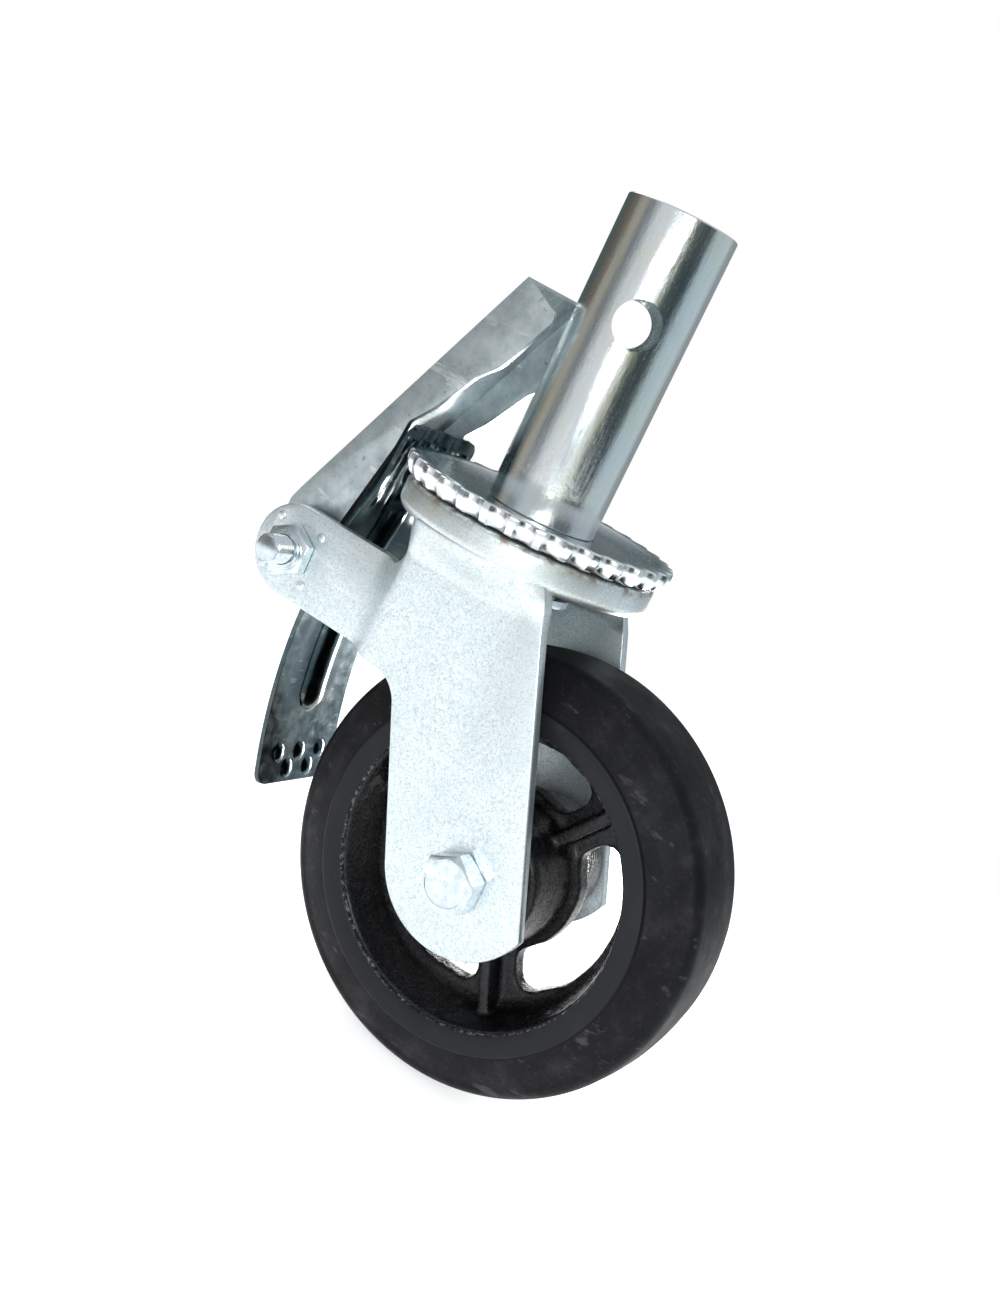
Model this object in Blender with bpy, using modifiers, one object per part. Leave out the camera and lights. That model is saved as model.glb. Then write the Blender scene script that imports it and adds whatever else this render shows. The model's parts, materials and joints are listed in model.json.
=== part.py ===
"""Swivel scaffold caster: a pinned tube stem on a scalloped swivel disc, a pressed fork with brake
ears, a rubber-tyred cast-iron wheel on a roller bearing, and a foot pedal whose cam rocks a brake
plate against the tyre and the disc.

Frame: origin on the stem's axis in the plane where its tube stands on the disc, +Z up the stem,
+X towards the trailing wheel, +Y along the axle. Lengths are in metres.
"""

import math

import bmesh
import bpy
from mathutils import Matrix, Vector

# ---- fits -------------------------------------------------------------------------------------
GAP = 0.0003            # between pieces that touch or seat on each other
RUNNING_GAP = 0.0005    # between pieces that turn past each other

# ---- stem, swivel disc and king bolt ----------------------------------------------------------
STEM_RADIUS = 0.019
STEM_WALL = 0.0035
STEM_LENGTH = 0.104
PIN_HOLE_RADIUS = 0.008
PIN_HOLE_HEIGHT = 0.068
PIN_HOLE_AZIMUTH = math.radians(-60)    # the hole's axis, seen from above, from +X
PLUG_HEIGHT = 0.010
DISC_RADIUS = 0.0480
DISC_SEAT_RADIUS = 0.030
DISC_THICKNESS = 0.0035
DISC_RIM_RISE = 0.0026
DISC_RIM_DROP = 0.0042
DISC_RIM_WIDTH = 0.0045
SCALLOP_COUNT = 32
SCALLOP_RADIUS = 0.0043
SCALLOP_DEPTH = 0.0019
KING_RADIUS = 0.006
KING_HEX = 0.018        # across flats
KING_HEAD_HEIGHT = 0.0065
KING_NUT_HEIGHT = 0.008

# ---- swivel ball races ------------------------------------------------------------------------
UPPER_BALL_RADIUS = 0.0034
UPPER_RACE_RADIUS = 0.0331
UPPER_BALL_COUNT = 12
LOWER_BALL_RADIUS = 0.0026
LOWER_RACE_RADIUS = 0.0145
LOWER_BALL_COUNT = 10
CAGE_THICKNESS = 0.0012
CAGE_EDGE = 0.62        # outside the balls, in ball radii
RETAINER_RADIUS = 0.0215
RETAINER_THICKNESS = 0.003

# ---- fork -------------------------------------------------------------------------------------
CROWN_RADIUS = 0.045
CROWN_THICKNESS = 0.0045
CROWN_LIP_WIDTH = 0.0058
CROWN_LIP_GAP = 0.0008  # below the disc's rim
CROWN_EDGE_ROUND = 0.0036
FORK_INSIDE = 0.062     # between the legs
LEG_THICKNESS = 0.0045
LEG_REAR_X = -0.0212    # the rear edge, where the leg leaves the crown
LEG_FRONT_X = 0.0283    # the front edge, where the leg leaves the crown
LEG_FRONT_SLOPE = math.radians(23.7)
LEG_REAR_SLOPE = math.radians(25.7)
FOOT_RADIUS = 0.0285
FOOT_RISE = 0.0034      # the foot's round above the axle
NOTCH_RADIUS = 0.0058
ARMPIT_RADIUS = 0.013
EAR_RADIUS = 0.0160
EAR_JOGGLE = 0.0080     # the ears stand this much inside the legs
JOGGLE_START_X = -0.0175
JOGGLE_END_X = -0.0320
EAR_PIP_RADIUS = 0.0017
EAR_PIP_HEIGHT = 0.0007

# ---- wheel ------------------------------------------------------------------------------------
WHEEL_RADIUS = 0.075
TYRE_REAR_X = -0.02975  # the tyre's rearmost line, clear of the brake plate
TYRE_TOP_Z = -0.033     # the tyre's top, clear of the king bolt
TYRE_WIDTH = 0.050
RIM_RADIUS = 0.054
RIM_WALL = 0.0055
RIM_DRAFT = 0.0018
RIM_WIDTH = 0.0456
LIP_RADIUS = 0.0508     # the tyre's inner edge, past the rim's end
STEP_RADIUS = 0.0584    # the line where the sidewall starts
SHOULDER_RADIUS = 0.0698
SHOULDER_WIDTH = 0.0372
CROWN_RISE = 0.0008     # the tread's crown
TREAD_ROUND = 0.0040
HUB_RADIUS = 0.023
HUB_WIDTH = 0.054
WEB_THICKNESS = 0.0075
SPOKE_COUNT = 3
SPOKE_ANGLE = math.radians(54)
SPOKE_WIDTH = 0.014
WINDOW_INNER = 0.0285
WINDOW_OUTER = 0.0435
WINDOW_ROUND = 0.0055
RIB_THICKNESS = 0.0042
RIB_HEIGHT = 0.0085     # above the web, on each side

# ---- axle and roller bearing ------------------------------------------------------------------
AXLE_RADIUS = 0.006
AXLE_HEX = 0.018
AXLE_HEAD_HEIGHT = 0.0076
AXLE_NUT_HEIGHT = 0.011
AXLE_TAIL = 0.0025      # thread past the nut
SLEEVE_WALL = 0.0032
ROLLER_RADIUS = 0.0025
ROLLER_COUNT = 8
ROLLER_LENGTH = 0.032
SHELL_WALL = 0.0015
SHELL_LENGTH = 0.042
SEAL_THICKNESS = 0.0022
THRUST_RADIUS = 0.020
THRUST_THICKNESS = 0.0016

# ---- brake ------------------------------------------------------------------------------------
PIVOT_X = -0.0658
PIVOT_Z = -0.0478
PIVOT_RADIUS = 0.005
PIVOT_HEX = 0.0165
PIVOT_HEAD_HEIGHT = 0.0065
PIVOT_NUT_HEIGHT = 0.0055
PIVOT_TAIL = 0.0078     # thread past the nut
BUSH_WALL = 0.0008
PEDAL_SHEET = 0.0025
PEDAL_TRAVEL = math.radians(65)
PEDAL_LENGTH = 0.1205   # pivot to the tip of the spine
PEDAL_LEAN = math.radians(72.9)     # the spine's tip, seen from the pivot, above +X
SPINE_LEAN = math.radians(63.9)     # the straight spine, above +X
SPINE_LENGTH = 0.107
PEDAL_FLANGE = (        # the flange's depth, at lengths down the spine from its tip
    (0.0, 0.0172),
    (0.0240, 0.0168),
    (0.0330, 0.0134),
    (0.0500, 0.0116),
)
HEEL_DROP = 0.005
CAM_CLEARANCE = 0.0008  # to the plate
HEEL_REACH = 0.0138     # behind the pivot
PLATE_SHEET = 0.0017
PLATE_WIDTH = 0.045
PLATE_CURVE_RADIUS = 0.1926
PLATE_CURVE_Z = -0.063
PLATE_REAR_X = -0.0564  # the rearmost line of the plate's back face
PLATE_BOTTOM = -0.1285
PLATE_TOP = 0.0082
COMB_WAVE = 0.0006
COMB_BOTTOM = -0.007
COMB_BLEND = 0.024      # below it, where the comb's round flattens into the shoe
BEAD_TOP = -0.023
BEAD_BOTTOM = -0.0965
BEAD_HALF_WIDTH = 0.0066
BEAD_HEIGHT = 0.0036
DIMPLE_RADIUS = 0.0031
DIMPLE_HEIGHT = 0.0014
DIMPLE_PITCH = 0.0125
DIMPLE_ROWS = (-0.1180, -0.1238)
LUG_SHEET = 0.0015
LUG_TOP = -0.0318
LUG_BOTTOM = -0.0625
LUG_WALL = 0.0025
LUG_INSET = 0.0002      # in from the edge of the plate
ROCK_Z = 0.012          # the plate rocks about this level, at its comb
ROCK_TRAVEL = math.radians(6.3)
SPRING_WIRE = 0.0009
SPRING_TURNS = 4
SPRING_LEG = 0.0115

# ---- facets -----------------------------------------------------------------------------------
FINE = 54
MEDIUM = 30
SMALL = 20
TINY = 10

# ---- sizes that follow ------------------------------------------------------------------------
STEM_BORE = STEM_RADIUS - STEM_WALL
LEG_INNER_Y = FORK_INSIDE / 2
LEG_OUTER_Y = LEG_INNER_Y + LEG_THICKNESS
EAR_OUTER_Y = LEG_OUTER_Y - EAR_JOGGLE
EAR_INNER_Y = EAR_OUTER_Y - LEG_THICKNESS
DISC_UNDERSIDE = -DISC_THICKNESS
UPPER_RACE_Z = DISC_UNDERSIDE - GAP - UPPER_BALL_RADIUS
CROWN_TOP = UPPER_RACE_Z - UPPER_BALL_RADIUS - GAP
CROWN_BOTTOM = CROWN_TOP - CROWN_THICKNESS
CROWN_LIP_TOP = -DISC_RIM_DROP - CROWN_LIP_GAP
LOWER_RACE_Z = CROWN_BOTTOM - GAP - LOWER_BALL_RADIUS
RETAINER_TOP = LOWER_RACE_Z - LOWER_BALL_RADIUS - GAP
RETAINER_BOTTOM = RETAINER_TOP - RETAINER_THICKNESS
KING_HOLE = KING_RADIUS + GAP
AXLE_HOLE = AXLE_RADIUS + GAP
SLEEVE_RADIUS = AXLE_HOLE + SLEEVE_WALL
ROLLER_RING = SLEEVE_RADIUS + GAP + ROLLER_RADIUS
SHELL_BORE = ROLLER_RING + ROLLER_RADIUS + GAP
SHELL_RADIUS = SHELL_BORE + SHELL_WALL
HUB_BORE = SHELL_RADIUS + GAP
BUSH_BORE = PIVOT_RADIUS + GAP
BUSH_RADIUS = BUSH_BORE + BUSH_WALL
PLATE_HALF = PLATE_WIDTH / 2
CAM_SPAN = PEDAL_TRAVEL - ROCK_TRAVEL
LUG_INNER_Y = PLATE_HALF - LUG_INSET - LUG_SHEET
PEDAL_HALF = LUG_INNER_Y - RUNNING_GAP

AXLE_X = TYRE_REAR_X + WHEEL_RADIUS
AXLE_Z = TYRE_TOP_Z - WHEEL_RADIUS
AXLE = Vector((AXLE_X, 0, AXLE_Z))
PIVOT = Vector((PIVOT_X, 0, PIVOT_Z))
ROCK = Vector((-DISC_RADIUS, 0, ROCK_Z))

TURN_TO_Y = Matrix.Rotation(math.radians(90), 4, "X")   # a shape drawn up Z then lies along -Y


# ---- scene and materials ----------------------------------------------------------------------
for old in list(bpy.data.objects):
    bpy.data.objects.remove(old, do_unlink=True)

parts = bpy.data.collections.new("scaffold_caster")
cutters = bpy.data.collections.new("cutters")
for collection in (parts, cutters):
    bpy.context.scene.collection.children.link(collection)
cutters.hide_render = True


def material(name, colour, roughness, metallic):
    made = bpy.data.materials.new(name)
    made.use_nodes = True
    shader = made.node_tree.nodes["Principled BSDF"]
    shader.inputs["Base Color"].default_value = (*colour, 1)
    shader.inputs["Roughness"].default_value = roughness
    shader.inputs["Metallic"].default_value = metallic
    return made


BRIGHT_ZINC = material("bright_zinc", (0.72, 0.76, 0.77), 0.22, 1.0)
SPANGLED_ZINC = material("spangled_zinc", (0.60, 0.65, 0.66), 0.45, 1.0)
GREY_ZINC = material("grey_zinc", (0.42, 0.45, 0.46), 0.42, 1.0)
DARK_ZINC = material("dark_zinc", (0.16, 0.21, 0.22), 0.25, 1.0)
IRON = material("black_iron", (0.012, 0.012, 0.014), 0.35, 0.0)
RUBBER = material("black_rubber", (0.028, 0.029, 0.032), 0.6, 0.0)
STEEL = material("bearing_steel", (0.62, 0.62, 0.60), 0.18, 1.0)
BRASS = material("cage_brass", (0.55, 0.40, 0.16), 0.35, 1.0)


# ---- mesh helpers -----------------------------------------------------------------------------
def smooth(obj):
    obj.data.shade_smooth()
    obj.data.set_sharp_from_angle(angle=math.radians(35))


def to_object(bm, name, collection=cutters):
    mesh = bpy.data.meshes.new(name)
    bmesh.ops.remove_doubles(bm, verts=bm.verts, dist=1e-6)
    bmesh.ops.recalc_face_normals(bm, faces=bm.faces)
    bm.to_mesh(mesh)
    bm.free()
    obj = bpy.data.objects.new(name, mesh)
    collection.objects.link(obj)
    if collection is cutters:
        obj.hide_render = True
        obj.display_type = "WIRE"
    return obj


def baked(obj, name=None):
    """The object with its modifiers applied, as a new cutter or tool with one welded mesh."""
    graph = bpy.context.evaluated_depsgraph_get()
    mesh = bpy.data.meshes.new_from_object(obj.evaluated_get(graph))
    bm = bmesh.new()
    bm.from_mesh(mesh)
    bm.transform(obj.matrix_world)
    bpy.data.meshes.remove(mesh)
    name = name or obj.name
    bpy.data.objects.remove(obj, do_unlink=True)
    return to_object(bm, name)


def moved(obj, matrix):
    obj.data.transform(matrix)
    if matrix.determinant() < 0:
        obj.data.flip_normals()
    return obj


def combined(obj, other, operation):
    """The object cut by, joined with or kept inside another one, which is used up."""
    modifier = obj.modifiers.new(operation.lower(), "BOOLEAN")
    modifier.operation = operation
    modifier.object = other
    bpy.context.view_layer.update()
    result = baked(obj)
    bpy.data.objects.remove(other, do_unlink=True)
    return result


def cut(obj, *tools):
    for tool in tools:
        obj = combined(obj, tool, "DIFFERENCE")
    return obj


def joined(obj, *others):
    for other in others:
        obj = combined(obj, other, "UNION")
    return obj


def finished(obj, name, look, joint=Vector()):
    """Makes a tool into a named part whose origin is on its joint."""
    cutters.objects.unlink(obj)
    parts.objects.link(obj)
    obj.hide_render = False
    obj.display_type = "TEXTURED"
    obj.name = name
    obj.data.name = name
    obj.data.transform(Matrix.Translation(-joint))
    obj.location = joint
    obj.data.materials.clear()
    obj.data.materials.append(look)
    smooth(obj)
    return obj


def turned(profile, steps, closed=True):
    """A solid of revolution about Z. The profile is (radius, height) points in order."""
    bm = bmesh.new()
    verts = [bm.verts.new((radius, 0, height)) for radius, height in profile]
    for first, second in zip(verts, verts[1:] + verts[:1] if closed else verts[1:]):
        bm.edges.new((first, second))
    mesh = bpy.data.meshes.new("profile")
    bm.to_mesh(mesh)
    bm.free()
    obj = bpy.data.objects.new("turned", mesh)
    cutters.objects.link(obj)
    screw = obj.modifiers.new("turn", "SCREW")
    screw.steps = steps
    screw.render_steps = steps
    screw.use_merge_vertices = True
    screw.merge_threshold = 1e-5
    bpy.context.view_layer.update()
    return baked(obj)


def ring(inner, outer, bottom, top, steps):
    return turned([(inner, top), (outer, top), (outer, bottom), (inner, bottom)], steps)


def rod(radius, bottom, top, steps, chamfer=0.0):
    bm = bmesh.new()
    bmesh.ops.create_cone(
        bm, cap_ends=True, segments=steps, radius1=radius, radius2=radius, depth=top - bottom
    )
    if chamfer:
        rims = [edge for edge in bm.edges if abs(edge.verts[0].co.z - edge.verts[1].co.z) < 1e-7]
        bmesh.ops.bevel(bm, geom=rims, offset=chamfer, segments=1, affect="EDGES")
    bmesh.ops.translate(bm, vec=(0, 0, (top + bottom) / 2), verts=bm.verts)
    return to_object(bm, "rod")


def box(low, high):
    bm = bmesh.new()
    bmesh.ops.create_cube(bm, size=1)
    size = [top - bottom for bottom, top in zip(low, high)]
    centre = [(top + bottom) / 2 for bottom, top in zip(low, high)]
    bmesh.ops.scale(bm, vec=size, verts=bm.verts)
    bmesh.ops.translate(bm, vec=centre, verts=bm.verts)
    return to_object(bm, "box")


def ball(radius, centre, across=TINY, up=6):
    bm = bmesh.new()
    bmesh.ops.create_uvsphere(bm, u_segments=across, v_segments=up, radius=radius)
    bmesh.ops.translate(bm, vec=centre, verts=bm.verts)
    return to_object(bm, "ball")


def hexagon(flats, bottom, top):
    """A hexagonal prism with its corners chamfered round at both ends."""
    bm = bmesh.new()
    corner = flats / 2 / math.cos(math.radians(30))
    bmesh.ops.create_cone(
        bm, cap_ends=True, segments=6, radius1=corner, radius2=corner, depth=top - bottom
    )
    bmesh.ops.translate(bm, vec=(0, 0, (top + bottom) / 2), verts=bm.verts)
    drop = (corner - flats / 2) * 0.9
    shape = turned(
        [
            (0, top),
            (flats / 2, top),
            (corner * 1.01, top - drop),
            (corner * 1.01, bottom + drop),
            (flats / 2, bottom),
            (0, bottom),
        ],
        SMALL,
        closed=False,
    )
    return combined(to_object(bm, "hexagon"), shape, "INTERSECT")


def flat(outline, half_thickness):
    """A plate with this (x, z) outline, its mid-plane on the XZ plane."""
    curve = bpy.data.curves.new("outline", "CURVE")
    curve.dimensions = "2D"
    curve.fill_mode = "BOTH"
    curve.extrude = half_thickness
    spline = curve.splines.new("POLY")
    spline.points.add(len(outline) - 1)
    for point, (x, z) in zip(spline.points, outline):
        point.co = (x, z, 0, 1)
    spline.use_cyclic_u = True
    obj = bpy.data.objects.new("outline", curve)
    cutters.objects.link(obj)
    obj.matrix_world = TURN_TO_Y
    bpy.context.view_layer.update()
    return baked(obj)


def wire(points, radius):
    """A round wire along these points."""
    curve = bpy.data.curves.new("wire", "CURVE")
    curve.dimensions = "3D"
    curve.bevel_depth = radius
    curve.bevel_resolution = 2
    curve.use_fill_caps = True
    spline = curve.splines.new("POLY")
    spline.points.add(len(points) - 1)
    for point, place in zip(spline.points, points):
        point.co = (*place, 1)
    obj = bpy.data.objects.new("wire", curve)
    cutters.objects.link(obj)
    bpy.context.view_layer.update()
    return baked(obj)


def along_y(obj, centre, y=0.0):
    """Lays a shape that was drawn up Z along Y, its top towards -Y."""
    return moved(obj, Matrix.Translation((centre[0], y, centre[2])) @ TURN_TO_Y)


# ---- outline helpers --------------------------------------------------------------------------
def arc(centre, radius, start, end, steps):
    """Points on a circle of the XZ plane from one angle to another."""
    return [
        (
            centre[0] + radius * math.cos(start + (end - start) * step / steps),
            centre[1] + radius * math.sin(start + (end - start) * step / steps),
        )
        for step in range(steps + 1)
    ]


def rounded(corners, steps=5):
    """An outline with its corners rounded. Each corner is (x, z, radius)."""
    outline = []
    count = len(corners)
    for index, (x, z, radius) in enumerate(corners):
        here = Vector((x, z))
        before = (Vector(corners[index - 1][:2]) - here).normalized()
        after = (Vector(corners[(index + 1) % count][:2]) - here).normalized()
        if radius == 0:
            outline.append((x, z))
            continue
        half = before.angle(after) / 2
        centre = here + (before + after).normalized() * radius / math.sin(half)
        start = here + before * radius / math.tan(half) - centre
        end = here + after * radius / math.tan(half) - centre
        sweep = start.angle_signed(end)
        for step in range(steps + 1):
            turn = Matrix.Rotation(-sweep * step / steps, 2)
            point = centre + turn @ start
            outline.append((point.x, point.y))
    return outline


def blend(value, low, high):
    """0 below low and 1 above high, with a smooth step between."""
    part = min(1.0, max(0.0, (value - low) / (high - low)))
    return part * part * (3 - 2 * part)


# ---- stem and swivel disc ---------------------------------------------------------------------
def make_stem():
    tube = ring(STEM_BORE, STEM_RADIUS, 0, STEM_LENGTH, FINE)
    hole = rod(PIN_HOLE_RADIUS, -STEM_RADIUS - STEM_WALL, STEM_RADIUS + STEM_WALL, SMALL)
    lie_down = Matrix.Rotation(math.radians(90), 4, "Y")
    face = Matrix.Rotation(PIN_HOLE_AZIMUTH, 4, "Z")
    moved(hole, Matrix.Translation((0, 0, PIN_HOLE_HEIGHT)) @ face @ lie_down)
    finished(cut(tube, hole), "stem_tube", BRIGHT_ZINC)
    plug = ring(KING_HOLE, STEM_BORE - GAP, 0, PLUG_HEIGHT, MEDIUM)
    finished(plug, "stem_plug", GREY_ZINC)


def make_disc():
    # The stem stands in a shallow register, so that its end is level with the seat round it.
    rim_inside = DISC_RADIUS - DISC_RIM_WIDTH
    profile = [
        (KING_HOLE, -GAP),
        (STEM_RADIUS + RUNNING_GAP, -GAP),
        (STEM_RADIUS + RUNNING_GAP, 0),
        (DISC_SEAT_RADIUS, 0),
        (rim_inside, DISC_RIM_RISE),
        (DISC_RADIUS - 0.0006, DISC_RIM_RISE),
        (DISC_RADIUS, DISC_RIM_RISE - 0.0006),
        (DISC_RADIUS, -DISC_RIM_DROP + 0.0006),
        (DISC_RADIUS - 0.0012, -DISC_RIM_DROP),
        (rim_inside, -DISC_RIM_DROP),
        (rim_inside - 0.0012, DISC_UNDERSIDE),
        (KING_HOLE, DISC_UNDERSIDE),
    ]
    disc = turned(profile, SCALLOP_COUNT * 2)
    reach = DISC_RADIUS - SCALLOP_DEPTH + SCALLOP_RADIUS
    bm = bmesh.new()
    for index in range(SCALLOP_COUNT):
        turn = 2 * math.pi * index / SCALLOP_COUNT
        made = bmesh.ops.create_cone(
            bm,
            cap_ends=True,
            segments=12,
            radius1=SCALLOP_RADIUS,
            radius2=SCALLOP_RADIUS,
            depth=4 * DISC_RIM_DROP,
        )
        place = (reach * math.cos(turn), reach * math.sin(turn), 0)
        bmesh.ops.translate(bm, vec=place, verts=made["verts"])
    disc = cut(disc, to_object(bm, "scallops"))
    finished(disc, "swivel_disc", BRIGHT_ZINC)


def make_king_bolt():
    seat = PLUG_HEIGHT + GAP
    nut_top = RETAINER_BOTTOM - GAP
    tail = nut_top - KING_NUT_HEIGHT - 0.002
    head = hexagon(KING_HEX, seat, seat + KING_HEAD_HEIGHT)
    shank = rod(KING_RADIUS, tail, seat + KING_HEAD_HEIGHT / 2, SMALL, chamfer=0.0008)
    finished(joined(head, shank), "king_bolt", GREY_ZINC)
    nut = hexagon(KING_HEX, nut_top - KING_NUT_HEIGHT, nut_top)
    bore = rod(KING_HOLE, nut_top - 2 * KING_NUT_HEIGHT, nut_top + KING_NUT_HEIGHT, SMALL)
    finished(cut(nut, bore), "king_nut", GREY_ZINC)
    retainer = ring(KING_HOLE, RETAINER_RADIUS, RETAINER_BOTTOM, RETAINER_TOP, MEDIUM)
    finished(retainer, "race_retainer", GREY_ZINC)


# ---- swivel ball races ------------------------------------------------------------------------
def make_ball_race(name, count, ball_radius, race_radius, height):
    """A ring of loose balls and the flat cage that spaces them."""
    width = ball_radius * CAGE_EDGE
    inner = race_radius - ball_radius - width
    outer = race_radius + ball_radius + width
    bottom = height - CAGE_THICKNESS / 2
    top = height + CAGE_THICKNESS / 2
    cage = ring(inner, outer, bottom, top, 3 * count)
    for index in range(count):
        turn = 2 * math.pi * (index + 0.5) / count
        place = Vector((race_radius * math.cos(turn), race_radius * math.sin(turn), 0))
        pocket = rod(ball_radius + GAP, bottom - 0.001, top + 0.001, TINY)
        cage = cut(cage, moved(pocket, Matrix.Translation(place)))
        piece = ball(ball_radius, place + Vector((0, 0, height)))
        finished(piece, f"{name}_ball_{index + 1:02d}", STEEL)
    finished(cage, f"{name}_ball_cage", BRASS)


# ---- fork -------------------------------------------------------------------------------------
def crown_profile():
    """The crown's section: a raceway floor inside a raised, rounded lip."""
    lip_inner = CROWN_RADIUS - CROWN_LIP_WIDTH
    lip_round = CROWN_LIP_WIDTH * 0.35
    edge = CROWN_EDGE_ROUND
    top = arc(
        (CROWN_RADIUS - lip_round, CROWN_LIP_TOP - lip_round), lip_round, math.pi / 2, 0, 3
    )
    bottom = arc((CROWN_RADIUS - edge, CROWN_BOTTOM + edge), edge, 0, -math.pi / 2, 3)
    return [
        (KING_HOLE + RUNNING_GAP, CROWN_TOP),
        (lip_inner - 0.001, CROWN_TOP),
        (lip_inner, CROWN_TOP + 0.001),
        (lip_inner, CROWN_LIP_TOP),
        *top,
        *bottom,
        (KING_HOLE + RUNNING_GAP, CROWN_BOTTOM),
    ]


def leg_outline():
    """A leg with its ear: front edge, round foot, rear edge, armpit, ear, notch, rear edge."""
    top = CROWN_TOP - CROWN_THICKNESS / 2
    foot = (AXLE_X, AXLE_Z + FOOT_RISE)
    # The front edge cuts through the foot's round at an angle.
    front = (LEG_FRONT_X, top)
    across = Vector((math.cos(LEG_FRONT_SLOPE), math.sin(LEG_FRONT_SLOPE)))
    offset = (Vector(front) - Vector(foot)).dot(across)
    front_angle = LEG_FRONT_SLOPE - math.acos(offset / FOOT_RADIUS)
    # The rear edge is a tangent of the foot's round.
    rear_angle = LEG_REAR_SLOPE - math.pi
    ear_top = PIVOT_Z + EAR_RADIUS
    ear_bottom = PIVOT_Z - EAR_RADIUS
    tangent = Vector(foot) + FOOT_RADIUS * Vector((math.cos(rear_angle), math.sin(rear_angle)))
    armpit_x = tangent.x - (ear_bottom - tangent.y) * math.tan(LEG_REAR_SLOPE)
    armpit = rounded(
        [(*tangent, 0), (armpit_x, ear_bottom, ARMPIT_RADIUS), (PIVOT_X, ear_bottom, 0)]
    )
    notch = rounded(
        [(PIVOT_X, ear_top, 0), (LEG_REAR_X, ear_top, NOTCH_RADIUS), (LEG_REAR_X, top, 0)]
    )
    ear = arc((PIVOT_X, PIVOT_Z), EAR_RADIUS, -math.pi / 2, -3 * math.pi / 2, 14)
    return [
        front,
        *arc(foot, FOOT_RADIUS, front_angle, rear_angle, 20)[:-1],
        *armpit[:-1],
        *ear[1:-1],
        *notch[:-1],
        (LEG_REAR_X - 0.002, top),
    ]


def make_leg(side):
    """One leg, its ear set in by the joggle. Side is -1 for the near leg and +1 for the far one."""
    leg = flat(leg_outline(), LEG_THICKNESS / 2)
    bm = bmesh.new()
    bm.from_mesh(leg.data)
    bpy.data.objects.remove(leg, do_unlink=True)
    steps = 4
    for step in range(steps + 1):
        x = JOGGLE_START_X + (JOGGLE_END_X - JOGGLE_START_X) * step / steps
        everything = list(bm.verts) + list(bm.edges) + list(bm.faces)
        bmesh.ops.bisect_plane(bm, geom=everything, plane_co=(x, 0, 0), plane_no=(1, 0, 0))
    mid_y = side * (LEG_OUTER_Y - LEG_THICKNESS / 2)
    for vert in bm.verts:
        inset = EAR_JOGGLE * blend(-vert.co.x, -JOGGLE_START_X, -JOGGLE_END_X)
        vert.co.y += mid_y - side * inset
    bmesh.ops.triangulate(bm, faces=bm.faces)
    return to_object(bm, "leg")


def make_fork():
    fork = joined(turned(crown_profile(), FINE), make_leg(-1), make_leg(1))
    axle_hole = along_y(rod(AXLE_HOLE, -LEG_OUTER_Y * 2, LEG_OUTER_Y * 2, SMALL), AXLE)
    pivot_hole = along_y(rod(PIVOT_RADIUS + GAP, -LEG_OUTER_Y * 2, LEG_OUTER_Y * 2, SMALL), PIVOT)
    fork = cut(fork, axle_hole, pivot_hole)
    pip_ring = (EAR_RADIUS + PIVOT_HEX / math.sqrt(3)) / 2
    for quarter in range(4):
        turn = math.radians(45) + quarter * math.pi / 2
        place = (
            PIVOT_X + pip_ring * math.cos(turn),
            -EAR_OUTER_Y,
            PIVOT_Z + pip_ring * math.sin(turn),
        )
        pip = ball(EAR_PIP_RADIUS, (0, 0, 0), 8, 4)
        moved(pip, Matrix.Translation(place) @ Matrix.Scale(EAR_PIP_HEIGHT / EAR_PIP_RADIUS, 4, (0, 1, 0)))
        fork = joined(fork, pip)
    finished(fork, "fork", SPANGLED_ZINC)


# ---- wheel ------------------------------------------------------------------------------------
def window_outline():
    """One window of the web, between a spoke on the X axis and the next one."""
    sector = 2 * math.pi / SPOKE_COUNT
    half = SPOKE_WIDTH / 2

    def corner(radius, first):
        slip = math.asin(half / radius)
        turn = slip if first else sector - slip
        return radius, turn

    outer_start = corner(WINDOW_OUTER, True)[1]
    outer_end = corner(WINDOW_OUTER, False)[1]
    inner_start = corner(WINDOW_INNER, True)[1]
    inner_end = corner(WINDOW_INNER, False)[1]
    steps = 10
    outer = arc((0, 0), WINDOW_OUTER, outer_start, outer_end, steps)
    inner = arc((0, 0), WINDOW_INNER, inner_end, inner_start, steps)
    corners = [
        (*outer[0], WINDOW_ROUND),
        *[(*point, 0) for point in outer[3:-3]],
        (*outer[-1], WINDOW_ROUND),
        (*inner[0], WINDOW_ROUND * 0.8),
        *[(*point, 0) for point in inner[3:-3]],
        (*inner[-1], WINDOW_ROUND * 0.8),
    ]
    return rounded(corners, 4)


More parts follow.
